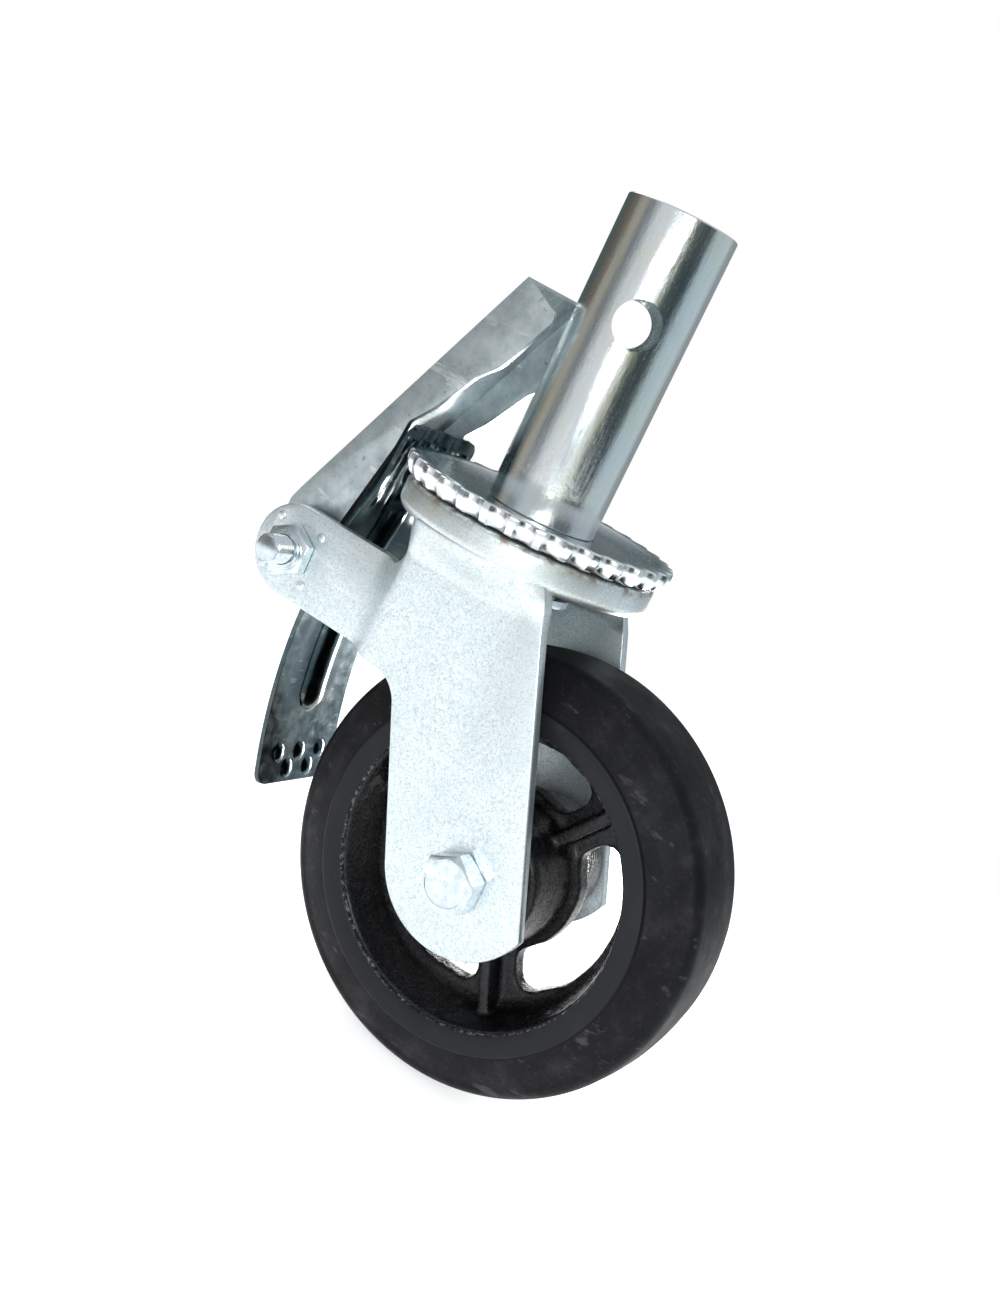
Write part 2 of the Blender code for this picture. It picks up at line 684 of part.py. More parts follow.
def make_wheel_core():
    rim_inner = RIM_RADIUS - RIM_WALL
    half_rim = RIM_WIDTH / 2
    half_web = WEB_THICKNESS / 2
    half_hub = HUB_WIDTH / 2
    upper = [
        (HUB_BORE, half_hub),
        (HUB_RADIUS - 0.001, half_hub),
        (HUB_RADIUS, half_hub - 0.001),
        (HUB_RADIUS + 0.0022, half_web + 0.002),
        (HUB_RADIUS + 0.0045, half_web),
        (rim_inner - 0.0045, half_web),
        (rim_inner - 0.0015, half_web + 0.0025),
        (rim_inner + RIM_DRAFT, half_rim),
        (RIM_RADIUS, half_rim),
    ]
    lower = [(radius, -height) for radius, height in reversed(upper)]
    core = turned(upper + lower, FINE)
    for index in range(SPOKE_COUNT):
        core_window = flat(window_outline(), WEB_THICKNESS * 2)
        moved(core_window, Matrix.Rotation(math.radians(-90), 4, "X"))
        spin = Matrix.Rotation(SPOKE_ANGLE + 2 * math.pi * index / SPOKE_COUNT, 4, "Z")
        core = cut(core, moved(core_window, spin))
    for index in range(SPOKE_COUNT):
        spin = Matrix.Rotation(SPOKE_ANGLE + 2 * math.pi * index / SPOKE_COUNT, 4, "Z")
        reach = half_web + RIB_HEIGHT
        low = (HUB_RADIUS - 0.002, -RIB_THICKNESS / 2, -reach)
        high = (RIM_RADIUS - 0.001, RIB_THICKNESS / 2, reach)
        core = joined(core, moved(box(low, high), spin))
    bore = rod(HUB_BORE, -HUB_WIDTH, HUB_WIDTH, FINE)
    core = cut(core, bore)
    finished(along_y(core, AXLE), "wheel_core", IRON, AXLE)


def make_tyre():
    half = TYRE_WIDTH / 2
    half_rim = RIM_WIDTH / 2 + GAP
    shoulder = SHOULDER_WIDTH / 2
    tread = shoulder - TREAD_ROUND
    upper = [
        (RIM_RADIUS + GAP, half_rim),
        (LIP_RADIUS, half_rim),
        (LIP_RADIUS, half - 0.0010),
        (LIP_RADIUS + 0.0008, half - 0.0004),
        (STEP_RADIUS - 0.0004, half),
        (STEP_RADIUS, half - 0.0010),
        (SHOULDER_RADIUS, shoulder),
        *[
            (
                SHOULDER_RADIUS + (WHEEL_RADIUS - CROWN_RISE - SHOULDER_RADIUS) * math.sin(turn),
                shoulder - (shoulder - tread) * (1 - math.cos(turn)) * 1.4,
            )
            for turn in (math.radians(30), math.radians(60), math.radians(90))
        ],
        (WHEEL_RADIUS - CROWN_RISE * 0.3, tread * 0.45),
    ]
    lower = [(radius, -height) for radius, height in reversed(upper)]
    tyre = turned(upper + [(WHEEL_RADIUS, 0)] + lower, FINE)
    finished(along_y(tyre, AXLE), "tyre", RUBBER, AXLE)


# ---- axle and roller bearing ------------------------------------------------------------------
def make_axle():
    face = LEG_OUTER_Y + GAP
    tail = face + AXLE_NUT_HEIGHT + AXLE_TAIL
    head = hexagon(AXLE_HEX, face, face + AXLE_HEAD_HEIGHT)
    shank = rod(AXLE_RADIUS, -tail, face + AXLE_HEAD_HEIGHT / 2, SMALL, chamfer=0.0008)
    finished(along_y(joined(head, shank), AXLE), "axle_bolt", BRIGHT_ZINC, AXLE)
    nut = hexagon(AXLE_HEX, -face - AXLE_NUT_HEIGHT, -face)
    nut = cut(nut, rod(AXLE_HOLE, -2 * face, 0, SMALL))
    finished(along_y(nut, AXLE), "axle_nut", BRIGHT_ZINC, AXLE)
    reach = LEG_INNER_Y - GAP
    sleeve = ring(AXLE_HOLE, SLEEVE_RADIUS, -reach, reach, MEDIUM)
    finished(along_y(sleeve, AXLE), "axle_sleeve", STEEL, AXLE)
    inner = HUB_WIDTH / 2 + RUNNING_GAP
    for side, name in ((1, "near"), (-1, "far")):
        washer = ring(SLEEVE_RADIUS + GAP, THRUST_RADIUS, inner, inner + THRUST_THICKNESS, MEDIUM)
        if side < 0:
            moved(washer, Matrix.Rotation(math.pi, 4, "X"))
        finished(along_y(washer, AXLE), f"thrust_washer_{name}", STEEL, AXLE)
        outside = HUB_WIDTH / 2 - GAP
        seal = ring(SLEEVE_RADIUS + RUNNING_GAP, SHELL_RADIUS, outside - SEAL_THICKNESS, outside, MEDIUM)
        if side < 0:
            moved(seal, Matrix.Rotation(math.pi, 4, "X"))
        finished(along_y(seal, AXLE), f"hub_seal_{name}", RUBBER, AXLE)


def make_roller_bearing():
    shell = ring(SHELL_BORE, SHELL_RADIUS, -SHELL_LENGTH / 2, SHELL_LENGTH / 2, MEDIUM)
    finished(along_y(shell, AXLE), "bearing_shell", STEEL, AXLE)
    cage_half = ROLLER_LENGTH / 2 + 0.003
    cage = ring(ROLLER_RING - 0.0006, ROLLER_RING + 0.0006, -cage_half, cage_half, MEDIUM)
    for index in range(ROLLER_COUNT):
        spin = Matrix.Rotation(2 * math.pi * index / ROLLER_COUNT, 4, "Z")
        window = box(
            (ROLLER_RING - 0.002, -ROLLER_RADIUS - GAP, -ROLLER_LENGTH / 2 - GAP),
            (ROLLER_RING + 0.002, ROLLER_RADIUS + GAP, ROLLER_LENGTH / 2 + GAP),
        )
        cage = cut(cage, moved(window, spin))
        roller = rod(ROLLER_RADIUS, -ROLLER_LENGTH / 2, ROLLER_LENGTH / 2, TINY)
        moved(roller, spin @ Matrix.Translation((ROLLER_RING, 0, 0)))
        finished(along_y(roller, AXLE), f"roller_{index + 1}", STEEL, AXLE)
    finished(along_y(cage, AXLE), "roller_cage", BRASS, AXLE)


# ---- brake ------------------------------------------------------------------------------------
def plate_back(z):
    """The x of the plate's back face on the mid-plane, a large round arc."""
    rise = z - PLATE_CURVE_Z
    return PLATE_REAR_X + PLATE_CURVE_RADIUS - math.sqrt(PLATE_CURVE_RADIUS**2 - rise**2)


def comb_ridge(z):
    """The radius of the comb's ridges: rocked home, they stand a gap off the disc's crests."""
    return DISC_RADIUS + GAP + (ROCK_Z - z) * math.tan(ROCK_TRAVEL)


def comb_back(y, z):
    """The x of the comb's back, taken over its ridges and furrows."""
    radius = comb_ridge(z) + 2 * COMB_WAVE + PLATE_SHEET
    return -math.sqrt(radius**2 - y**2)


def plate_front(y, z):
    """The x of the plate's front face: a flat shoe below, a bead, and a round comb above."""
    shoe = plate_back(z) + PLATE_SHEET
    ridge = comb_ridge(z)
    turn = math.asin(y / ridge)
    comb = -(ridge + COMB_WAVE * (1 - math.cos(SCALLOP_COUNT * turn))) * math.cos(turn)
    x = shoe + (comb - shoe) * blend(z, COMB_BOTTOM - COMB_BLEND, COMB_BOTTOM)
    past = max(BEAD_BOTTOM - z, z - BEAD_TOP, 0)
    reach = math.hypot(y, past) / BEAD_HALF_WIDTH
    if reach < 1:
        x += BEAD_HEIGHT * (1 - reach**2) ** 0.6
    return x


def bush_path_end():
    """Where the pivot bush ends up, seen from the plate, once the plate has rocked home."""
    away = Matrix.Rotation(-ROCK_TRAVEL, 2) @ (PIVOT.xz - ROCK.xz)
    return ROCK.xz + away


def capsule(start, end, radius, steps):
    """A slot outline: the area within a radius of the line from start to end."""
    along = end - start
    turn = math.atan2(along.y, along.x)
    quarter = math.pi / 2
    return [
        *arc(start, radius, turn + quarter, turn + 3 * quarter, steps),
        *arc(end, radius, turn - quarter, turn + quarter, steps),
    ]


def lug_outline():
    """A slotted side lug: the slot lets the plate rock while the pivot bush stays put."""
    start = PIVOT.xz
    end = bush_path_end()
    slot = capsule(start, end, BUSH_RADIUS + RUNNING_GAP, 8)
    along = (end - start).normalized()
    turn = math.atan2(along.y, along.x)
    wrap = arc(end, BUSH_RADIUS + RUNNING_GAP + LUG_WALL, turn - math.pi / 2, turn + math.pi / 2, 8)
    heights = [LUG_TOP + (LUG_BOTTOM - LUG_TOP) * step / 4 for step in range(5)]
    root = [(plate_back(z) + PLATE_SHEET / 2, z) for z in heights]
    return [*root, *reversed(wrap)], slot


def make_brake_plate():
    columns = 22
    rows = 20
    bm = bmesh.new()
    grid = bmesh.ops.create_grid(bm, x_segments=columns, y_segments=rows, size=0.5)["verts"]
    for vert in grid:
        y = vert.co.x * PLATE_WIDTH
        z = PLATE_BOTTOM + (vert.co.y + 0.5) * (PLATE_TOP - PLATE_BOTTOM)
        vert.co = (plate_front(y, z), y, z)
    front = to_object(bm, "plate_front")
    facing = sum((face.normal.x for face in front.data.polygons), 0.0)
    if facing < 0:
        front.data.flip_normals()
    solid = front.modifiers.new("sheet", "SOLIDIFY")
    solid.thickness = PLATE_SHEET
    solid.offset = -1
    bpy.context.view_layer.update()
    plate = baked(front)
    outline, slot = lug_outline()
    for side in (-1, 1):
        lug = flat(outline, LUG_SHEET / 2)
        lug = cut(lug, flat(slot, LUG_SHEET))
        lug_y = side * (PLATE_HALF - LUG_INSET - LUG_SHEET / 2)
        moved(lug, Matrix.Translation((0, lug_y, 0)))
        plate = joined(plate, lug)
    flatten = Matrix.Scale(DIMPLE_HEIGHT / DIMPLE_RADIUS, 4, (1, 0, 0))
    for row, z in enumerate(DIMPLE_ROWS):
        for index in range(3 - row):
            y = (index - (2 - row) / 2) * DIMPLE_PITCH
            dimple = ball(DIMPLE_RADIUS, (0, 0, 0), 8, 4)
            place = Matrix.Translation((plate_front(y, z) - 0.0001, y, z))
            plate = joined(plate, moved(dimple, place @ flatten))
    finished(plate, "brake_plate", DARK_ZINC, ROCK)


def cam_edge(turn):
    """A point of the cam from the pivot: it stays a clearance off the plate as both turn.

    The cam is the envelope of the plate's back: reach is the distance from the pivot to the
    plate once the plate has rocked, and slope is how fast that distance grows.
    """
    share = ROCK_TRAVEL / CAM_SPAN
    rock = turn * share
    behind = PLATE_REAR_X - PIVOT_X
    below = ROCK_Z - PIVOT_Z
    reach = behind * math.cos(rock) + below * math.sin(rock) - CAM_CLEARANCE
    slope = share * (below * math.cos(rock) - behind * math.sin(rock))
    outward = Vector((math.cos(turn), -math.sin(turn)))
    onward = Vector((-math.sin(turn), -math.cos(turn)))
    return outward * reach + onward * slope


def pedal_outline():
    """The pedal from the side: spine, tip, flange edge, cam round the pivot, and heel."""
    tip = PIVOT.xz + PEDAL_LENGTH * Vector((math.cos(PEDAL_LEAN), math.sin(PEDAL_LEAN)))
    up = Vector((math.cos(SPINE_LEAN), math.sin(SPINE_LEAN)))
    inward = Vector((up.y, -up.x))
    heel = tip - up * SPINE_LENGTH
    edge = [(*(tip - up * down + inward * depth), 0.012) for down, depth in PEDAL_FLANGE]
    edge[0] = (*edge[0][:2], 0.003)
    # The comb is round, so the flange's inner face comes nearest to it.
    inner_y = PEDAL_HALF - PEDAL_SHEET
    above_comb = (comb_back(inner_y, PLATE_TOP) - GAP, PLATE_TOP + 0.001, 0.003)
    beside_comb = (comb_back(inner_y, 0) - GAP, 0, 0.012)
    cam_steps = 8
    cam = [PIVOT.xz + cam_edge(CAM_SPAN * step / cam_steps) for step in range(cam_steps + 1)]
    behind_plate = (cam[0].x, PIVOT_Z + EAR_RADIUS, 0.012)
    back_x = PIVOT_X - HEEL_REACH
    last = cam[-1] - PIVOT.xz
    last_turn = math.atan2(last.y, last.x)
    for step in range(1, cam_steps + 1):
        share = step / cam_steps
        turn = last_turn - (math.pi + last_turn) * share
        reach = last.length + (HEEL_REACH - last.length) * share
        cam.append(PIVOT.xz + reach * Vector((math.cos(turn), math.sin(turn))))
    outline = [
        (*tip, 0),
        *edge,
        above_comb,
        beside_comb,
        behind_plate,
        *[(*point, 0) for point in cam],
        (back_x, heel.y - HEEL_DROP, 0.004),
        (*heel, 0.010),
    ]
    return rounded(outline, 3), tip, heel, up, back_x


def make_pedal():
    """A channel with its web along the spine, open towards the plate and at the tip."""
    outline, tip, heel, up, back_x = pedal_outline()
    inward = Vector((up.y, -up.x))
    past_tip = tip + inward * PEDAL_SHEET + up * PEDAL_SHEET * 4
    inner_heel = heel + inward * PEDAL_SHEET
    inner_back = back_x + PEDAL_SHEET
    far_x = PIVOT_X + PEDAL_LENGTH
    low_z = PIVOT_Z - PEDAL_LENGTH
    web_end = PIVOT_Z - PIVOT_RADIUS
    hollow = rounded(
        [
            (*past_tip, 0),
            (far_x, past_tip.y, 0),
            (far_x, low_z, 0),
            (back_x - PEDAL_SHEET, low_z, 0),
            (back_x - PEDAL_SHEET, web_end, 0),
            (inner_back, web_end, 0),
            (inner_back, inner_heel.y - HEEL_DROP, 0.002),
            (*inner_heel, 0.008),
        ],
        3,
    )
    pedal = cut(flat(outline, PEDAL_HALF), flat(hollow, PEDAL_HALF - PEDAL_SHEET))
    hole = along_y(rod(BUSH_RADIUS + GAP, -2 * PEDAL_HALF, 2 * PEDAL_HALF, SMALL), PIVOT)
    finished(cut(pedal, hole), "brake_pedal", GREY_ZINC, PIVOT)


def make_pivot():
    face = EAR_OUTER_Y + GAP
    tip = face + PIVOT_NUT_HEIGHT + PIVOT_TAIL
    head = hexagon(PIVOT_HEX, -face - PIVOT_HEAD_HEIGHT, -face)
    shank = rod(PIVOT_RADIUS, -face - PIVOT_HEAD_HEIGHT / 2, tip, SMALL, chamfer=0.0008)
    finished(along_y(joined(head, shank), PIVOT), "pivot_bolt", BRIGHT_ZINC, PIVOT)
    nut = hexagon(PIVOT_HEX, face, face + PIVOT_NUT_HEIGHT)
    nut = cut(nut, rod(BUSH_BORE, 0, 2 * face, SMALL))
    finished(along_y(nut, PIVOT), "pivot_nut", BRIGHT_ZINC, PIVOT)
    reach = EAR_INNER_Y - GAP
    bush = ring(BUSH_BORE, BUSH_RADIUS, -reach, reach, SMALL)
    finished(along_y(bush, PIVOT), "pivot_bush", STEEL, PIVOT)


def make_spring():
    """The torsion spring on the bush. One leg bears on the plate's back, one on the spine."""
    coil = BUSH_RADIUS + RUNNING_GAP + SPRING_WIRE
    pitch = 2.4 * SPRING_WIRE
    steps = 14
    points = []
    for step in range(SPRING_TURNS * steps + 1):
        turn = 2 * math.pi * step / steps
        y = (step / steps - SPRING_TURNS / 2) * pitch
        points.append((coil * math.cos(turn), y, coil * math.sin(turn)))
    first = Vector(points[0])
    last = Vector(points[-1])
    points.insert(0, (first.x, first.y, first.z - SPRING_LEG * 0.8))
    points.append((last.x, last.y, last.z + SPRING_LEG))
    spring = wire(points, SPRING_WIRE)
    moved(spring, Matrix.Translation(PIVOT))
    finished(spring, "torsion_spring", STEEL, PIVOT)


# ---- assembly ---------------------------------------------------------------------------------
make_stem()
make_disc()
make_king_bolt()
make_ball_race("upper", UPPER_BALL_COUNT, UPPER_BALL_RADIUS, UPPER_RACE_RADIUS, UPPER_RACE_Z)
make_ball_race("lower", LOWER_BALL_COUNT, LOWER_BALL_RADIUS, LOWER_RACE_RADIUS, LOWER_RACE_Z)
make_fork()
make_wheel_core()
make_tyre()
make_axle()
make_roller_bearing()
make_pedal()
make_brake_plate()
make_pivot()
make_spring()
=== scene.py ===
"""Looks for the swivel scaffold caster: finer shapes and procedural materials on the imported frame.

Each visible CAD node is either replaced by a finer piece of the same size, built here, or keeps its
shape and gets a new material. Lengths are in metres, in the row frame: origin where the stem stands
on the disc, +Z up the stem, +X towards the trailing wheel, +Y along the axle.
"""

import json
from math import acos, asin, atan2, cos, hypot, pi, radians, sin, sqrt, tan

import bmesh
import bpy
from mathutils import Matrix, Vector, noise

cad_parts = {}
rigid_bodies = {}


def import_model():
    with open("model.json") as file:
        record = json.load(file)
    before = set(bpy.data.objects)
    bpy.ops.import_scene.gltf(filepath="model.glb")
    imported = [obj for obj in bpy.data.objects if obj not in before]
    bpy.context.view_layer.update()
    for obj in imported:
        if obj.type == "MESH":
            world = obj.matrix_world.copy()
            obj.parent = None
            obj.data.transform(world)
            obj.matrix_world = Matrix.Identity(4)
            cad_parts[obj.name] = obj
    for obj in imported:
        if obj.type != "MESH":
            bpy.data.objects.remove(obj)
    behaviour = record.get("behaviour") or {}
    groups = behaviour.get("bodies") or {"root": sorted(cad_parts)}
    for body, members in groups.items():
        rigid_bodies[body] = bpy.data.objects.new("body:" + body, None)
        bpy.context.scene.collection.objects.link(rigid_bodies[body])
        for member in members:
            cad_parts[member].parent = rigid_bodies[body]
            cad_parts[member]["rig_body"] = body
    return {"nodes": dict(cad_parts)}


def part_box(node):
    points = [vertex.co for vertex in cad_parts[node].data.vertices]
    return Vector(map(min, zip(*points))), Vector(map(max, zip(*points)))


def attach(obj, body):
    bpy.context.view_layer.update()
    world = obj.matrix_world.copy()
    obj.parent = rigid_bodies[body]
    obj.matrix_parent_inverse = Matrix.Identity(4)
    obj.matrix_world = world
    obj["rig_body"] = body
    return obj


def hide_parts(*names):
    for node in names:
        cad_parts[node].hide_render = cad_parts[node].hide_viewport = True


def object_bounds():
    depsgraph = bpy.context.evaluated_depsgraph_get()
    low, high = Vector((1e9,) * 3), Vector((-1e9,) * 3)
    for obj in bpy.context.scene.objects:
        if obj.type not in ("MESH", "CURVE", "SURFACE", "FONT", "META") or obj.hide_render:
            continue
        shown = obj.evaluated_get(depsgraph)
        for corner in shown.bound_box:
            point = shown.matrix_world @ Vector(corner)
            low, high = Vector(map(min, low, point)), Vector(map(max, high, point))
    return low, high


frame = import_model()
cad_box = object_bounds()

# ---- sizes, as in the CAD model ----
GAP = 0.0003
STEM_RADIUS = 0.019
STEM_WALL = 0.0035
STEM_LENGTH = 0.104
PIN_HOLE_RADIUS = 0.008
PIN_HOLE_HEIGHT = 0.068
PIN_HOLE_AZIMUTH = radians(-60)
DISC_RADIUS = 0.0480
DISC_SEAT_RADIUS = 0.030
DISC_THICKNESS = 0.0035
DISC_RIM_RISE = 0.0026
DISC_RIM_DROP = 0.0042
SCALLOP_COUNT = 32
SCALLOP_RADIUS = 0.0043
SCALLOP_DEPTH = 0.0019
CROWN_RADIUS = 0.045
CROWN_TOP = -0.0109
CROWN_BOTTOM = -0.0154
CROWN_LIP_TOP = -0.0050
CROWN_LIP_WIDTH = 0.0058
CROWN_EDGE_ROUND = 0.0036
CROWN_BORE = 0.0068
LEG_THICKNESS = 0.0045
LEG_OUTER_Y = 0.0355
LEG_REAR_X = -0.0212
LEG_FRONT_X = 0.0283
LEG_FRONT_SLOPE = radians(23.7)
LEG_REAR_SLOPE = radians(25.7)
FOOT_RADIUS = 0.0285
FOOT_RISE = 0.0034
NOTCH_RADIUS = 0.0058
ARMPIT_RADIUS = 0.013
EAR_RADIUS = 0.0160
EAR_JOGGLE = 0.0080
EAR_OUTER_Y = LEG_OUTER_Y - EAR_JOGGLE
JOGGLE_START_X = -0.0175
JOGGLE_END_X = -0.0320
FLARE_BOTTOM = -0.027
FLARE_TOP = -0.0135
AXLE = Vector((0.04525, 0, -0.108))
AXLE_RADIUS = 0.006
WHEEL_RADIUS = 0.075
TYRE_WIDTH = 0.050
RIM_RADIUS = 0.054
RIM_WALL = 0.0055
RIM_DRAFT = 0.0018
RIM_WIDTH = 0.0456
LIP_RADIUS = 0.0508
STEP_RADIUS = 0.0584
SHOULDER_RADIUS = 0.0698
SHOULDER_WIDTH = 0.0372
CROWN_RISE = 0.0008
TREAD_ROUND = 0.0040
HUB_RADIUS = 0.023
HUB_WIDTH = 0.054
HUB_BORE = 0.0169
WEB_THICKNESS = 0.0075
SPOKE_COUNT = 3
SPOKE_ANGLE = radians(54)
SPOKE_WIDTH = 0.014
WINDOW_INNER = 0.0285
WINDOW_OUTER = 0.0435
WINDOW_ROUND = 0.0055
RIB_THICKNESS = 0.0042
RIB_HEIGHT = 0.0085
PIVOT = Vector((-0.0658, 0, -0.0478))
PIVOT_RADIUS = 0.005
BUSH_RADIUS = 0.0061
ROCK = Vector((-DISC_RADIUS, 0, 0.012))
ROCK_TRAVEL = radians(6.3)
PEDAL_HALF = 0.0203
PEDAL_SHEET = 0.0025
PEDAL_TRAVEL = radians(65)
PEDAL_LENGTH = 0.1205
PEDAL_LEAN = radians(72.9)
SPINE_LEAN = radians(63.9)
SPINE_LENGTH = 0.107
PEDAL_FLANGE = ((0.0, 0.0172), (0.0240, 0.0168), (0.0330, 0.0134), (0.0500, 0.0116))
HEEL_DROP = 0.005
HEEL_REACH = 0.0138
CAM_CLEARANCE = 0.0008
PLATE_SHEET = 0.0017
PLATE_HALF = 0.0225
PLATE_CURVE_RADIUS = 0.1926
PLATE_CURVE_Z = -0.063
PLATE_REAR_X = -0.0564
PLATE_BOTTOM = -0.1285
PLATE_TOP = 0.0082
COMB_WAVE = 0.0006
COMB_BOTTOM = -0.007
COMB_BLEND = 0.024
BEAD_TOP = -0.023
BEAD_BOTTOM = -0.0965
BEAD_HALF_WIDTH = 0.0066
BEAD_HEIGHT = 0.0036
DIMPLE_RADIUS = 0.0031
DIMPLE_HEIGHT = 0.0014
DIMPLE_PITCH = 0.0125
DIMPLE_ROWS = (-0.1180, -0.1238)
LUG_SHEET = 0.0015
LUG_TOP = -0.0318
LUG_BOTTOM = -0.0625
LUG_WALL = 0.0025
LUG_INSET = 0.0002
RUNNING_GAP = 0.0005
KING_RADIUS = 0.006
KING_HOLE = 0.0063
AXLE_HOLE = 0.0063
PIVOT_HOLE = 0.0053
BOLT_FLATS = 0.018
PIVOT_FLATS = 0.0165
BOLT_THREAD = (0.0014, 0.0006)      # pitch, depth
PIVOT_THREAD = (0.0011, 0.0005)
NUT_COLLARS = ((0.0071, 0.0006), (0.0063, 0))       # radius, distance below the end
KING_HEAD_HEIGHT = 0.0065
SHELL_BORE = 0.0151
SEAL_BORE = 0.0100
WASHER_BORE = 0.0098
PLATE_CORNER = 0.0045
CAST_VOXEL = 0.00085
CAST_LUMPS = ((220, 0.00016), (520, 0.00007))     # scale, height

# ---- steps ----
ROUND = 160     # round a wheel or a disc
TURN = 64       # round a bolt or a bush
TURN_TO_Y = Matrix.Rotation(radians(90), 4, "X")
UPSIDE_DOWN = Matrix.Rotation(pi, 4, "X")
UPRIGHT_TO_FLAT = Matrix.Rotation(radians(-90), 4, "X")


# ---- mesh tools ----
def in_scene(obj):
    bpy.context.scene.collection.objects.link(obj)
    return obj


def to_object(bm, name="shape"):
    mesh = bpy.data.meshes.new(name)
    bmesh.ops.recalc_face_normals(bm, faces=bm.faces)
    bm.to_mesh(mesh)
    bm.free()
    return in_scene(bpy.data.objects.new(name, mesh))


def applied(obj):
    """The object with its modifiers applied."""
    graph = bpy.context.evaluated_depsgraph_get()
    mesh = bpy.data.meshes.new_from_object(obj.evaluated_get(graph))
    obj.modifiers.clear()
    old = obj.data
    obj.data = mesh
    bpy.data.meshes.remove(old)
    return obj


def moved(obj, matrix):
    obj.data.transform(matrix)
    if matrix.determinant() < 0:
        obj.data.flip_normals()
    return obj


def combined(obj, other, operation):
    modifier = obj.modifiers.new(operation.lower(), "BOOLEAN")
    modifier.operation = operation
    modifier.solver = "MANIFOLD"
    modifier.object = other
    applied(obj)
    bpy.data.objects.remove(other, do_unlink=True)
    return obj


def cut(obj, *tools):
    for tool in tools:
        combined(obj, tool, "DIFFERENCE")
    return obj


def joined(obj, *others):
    for other in others:
        combined(obj, other, "UNION")
    return obj


def bevelled(obj, width, segments=3, angle=35):
    modifier = obj.modifiers.new("bevel", "BEVEL")
    modifier.width = width
    modifier.segments = segments
    modifier.limit_method = "ANGLE"
    modifier.angle_limit = radians(angle)
    modifier.miter_outer = "MITER_ARC"
    return applied(obj)


def remeshed(obj, voxel, smoothing):
    """A cast or moulded skin: the shape remeshed and smoothed, which rounds every edge."""
    remesh = obj.modifiers.new("skin", "REMESH")
    remesh.mode = "VOXEL"
    remesh.voxel_size = voxel
    soft = obj.modifiers.new("soften", "SMOOTH")
    soft.factor = 0.5
    soft.iterations = smoothing
    return applied(obj)


def dress(obj, look):
    obj.data.materials.clear()
    obj.data.materials.append(look)


def piece(obj, name, body, finish, *nodes, sharp=40):
    """Names a finished mesh, shades it, and hangs it on its body in place of its CAD nodes."""
    look, slot = finish
    obj.name = name
    obj.data.name = name
    dress(obj, look)
    obj.data.shade_smooth()
    obj.data.set_sharp_from_angle(angle=radians(sharp))
    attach(obj, body)
    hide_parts(*nodes)
    return obj


def skin(bm, rows, wrap=True):
    """Faces between each row of points and the next. Points that coincide give a triangle."""
    for low, high in zip(rows, rows[1:]):
        for step in range(len(low) if wrap else len(low) - 1):
            after = (step + 1) % len(low)
            corners = [low[step], low[after], high[after], high[step]]
            corners = list(dict.fromkeys(corners))
            if len(corners) > 2:
                bm.faces.new(corners)


def turned(profile, steps=ROUND):
    """A solid of revolution about Z from a closed loop of (radius, height) points."""
    bm = bmesh.new()
    rings = []
    for radius, height in profile:
        if radius < 1e-7:
            rings.append([bm.verts.new((0, 0, height))] * steps)
            continue
        angles = [2 * pi * step / steps for step in range(steps)]
        rings.append([bm.verts.new((radius * cos(a), radius * sin(a), height)) for a in angles])
    skin(bm, rings + rings[:1])
    return to_object(bm)


def mirrored(profile):
    """The lower half of a profile that is the same on both sides of height 0."""
    return [(radius, -height) for radius, height in reversed(profile)]


def eased(profile, radius, steps=3):
    """A closed profile with each corner rounded as far as its neighbours allow."""
    out = []
    count = len(profile)
    for index, point in enumerate(profile):
        here = Vector(point)
        before = Vector(profile[index - 1]) - here
        after = Vector(profile[(index + 1) % count]) - here
        if here.x < 1e-7 or before.angle(after) > radians(160):
            out.append(tuple(here))
            continue
        reach = min(radius, before.length * 0.45, after.length * 0.45)
        start = here + before.normalized() * reach
        end = here + after.normalized() * reach
        for step in range(steps + 1):
            t = step / steps
            out.append(tuple(start * (1 - t) ** 2 + here * 2 * t * (1 - t) + end * t**2))
    return out


def ring(inner, outer, bottom, top, steps=TURN, ease=0.0003):
    return turned(
        eased([(inner, top), (outer, top), (outer, bottom), (inner, bottom)], ease), steps
    )


def rod(radius, bottom, top, steps=TURN):
    return turned([(0, top), (radius, top), (radius, bottom), (0, bottom)], steps)


def arc(centre, radius, start, end, steps):
    span = [start + (end - start) * step / steps for step in range(steps + 1)]
    return [(centre[0] + radius * cos(a), centre[1] + radius * sin(a)) for a in span]


def rounded(corners, steps=8):
    """An outline with its corners rounded. Each corner is (x, z, radius)."""
    outline = []
    count = len(corners)
    for index, (x, z, radius) in enumerate(corners):
        here = Vector((x, z))
        before = (Vector(corners[index - 1][:2]) - here).normalized()
        after = (Vector(corners[(index + 1) % count][:2]) - here).normalized()
        if radius == 0:
            outline.append((x, z))
            continue
        half = before.angle(after) / 2
        centre = here + (before + after).normalized() * radius / sin(half)
        start = here + before * radius / tan(half) - centre
        end = here + after * radius / tan(half) - centre
        sweep = start.angle_signed(end)
        for step in range(steps + 1):
            outline.append(tuple(centre + Matrix.Rotation(-sweep * step / steps, 2) @ start))
    return outline


def slab(outline, half):
    """A plate with this (x, z) outline, between y = -half and +half."""
    bm = bmesh.new()
    near = [bm.verts.new((x, -half, z)) for x, z in outline]
    far = [bm.verts.new((x, half, z)) for x, z in outline]
    bm.faces.new(near)
    bm.faces.new(list(reversed(far)))
    for index in range(len(outline)):
        after = (index + 1) % len(outline)
        bm.faces.new([near[index], far[index], far[after], near[after]])
    return to_object(bm)


def along_y(obj, centre):
    """Lays a shape that was made up Z along Y, its top towards -Y."""
    return moved(obj, Matrix.Translation(centre) @ TURN_TO_Y)


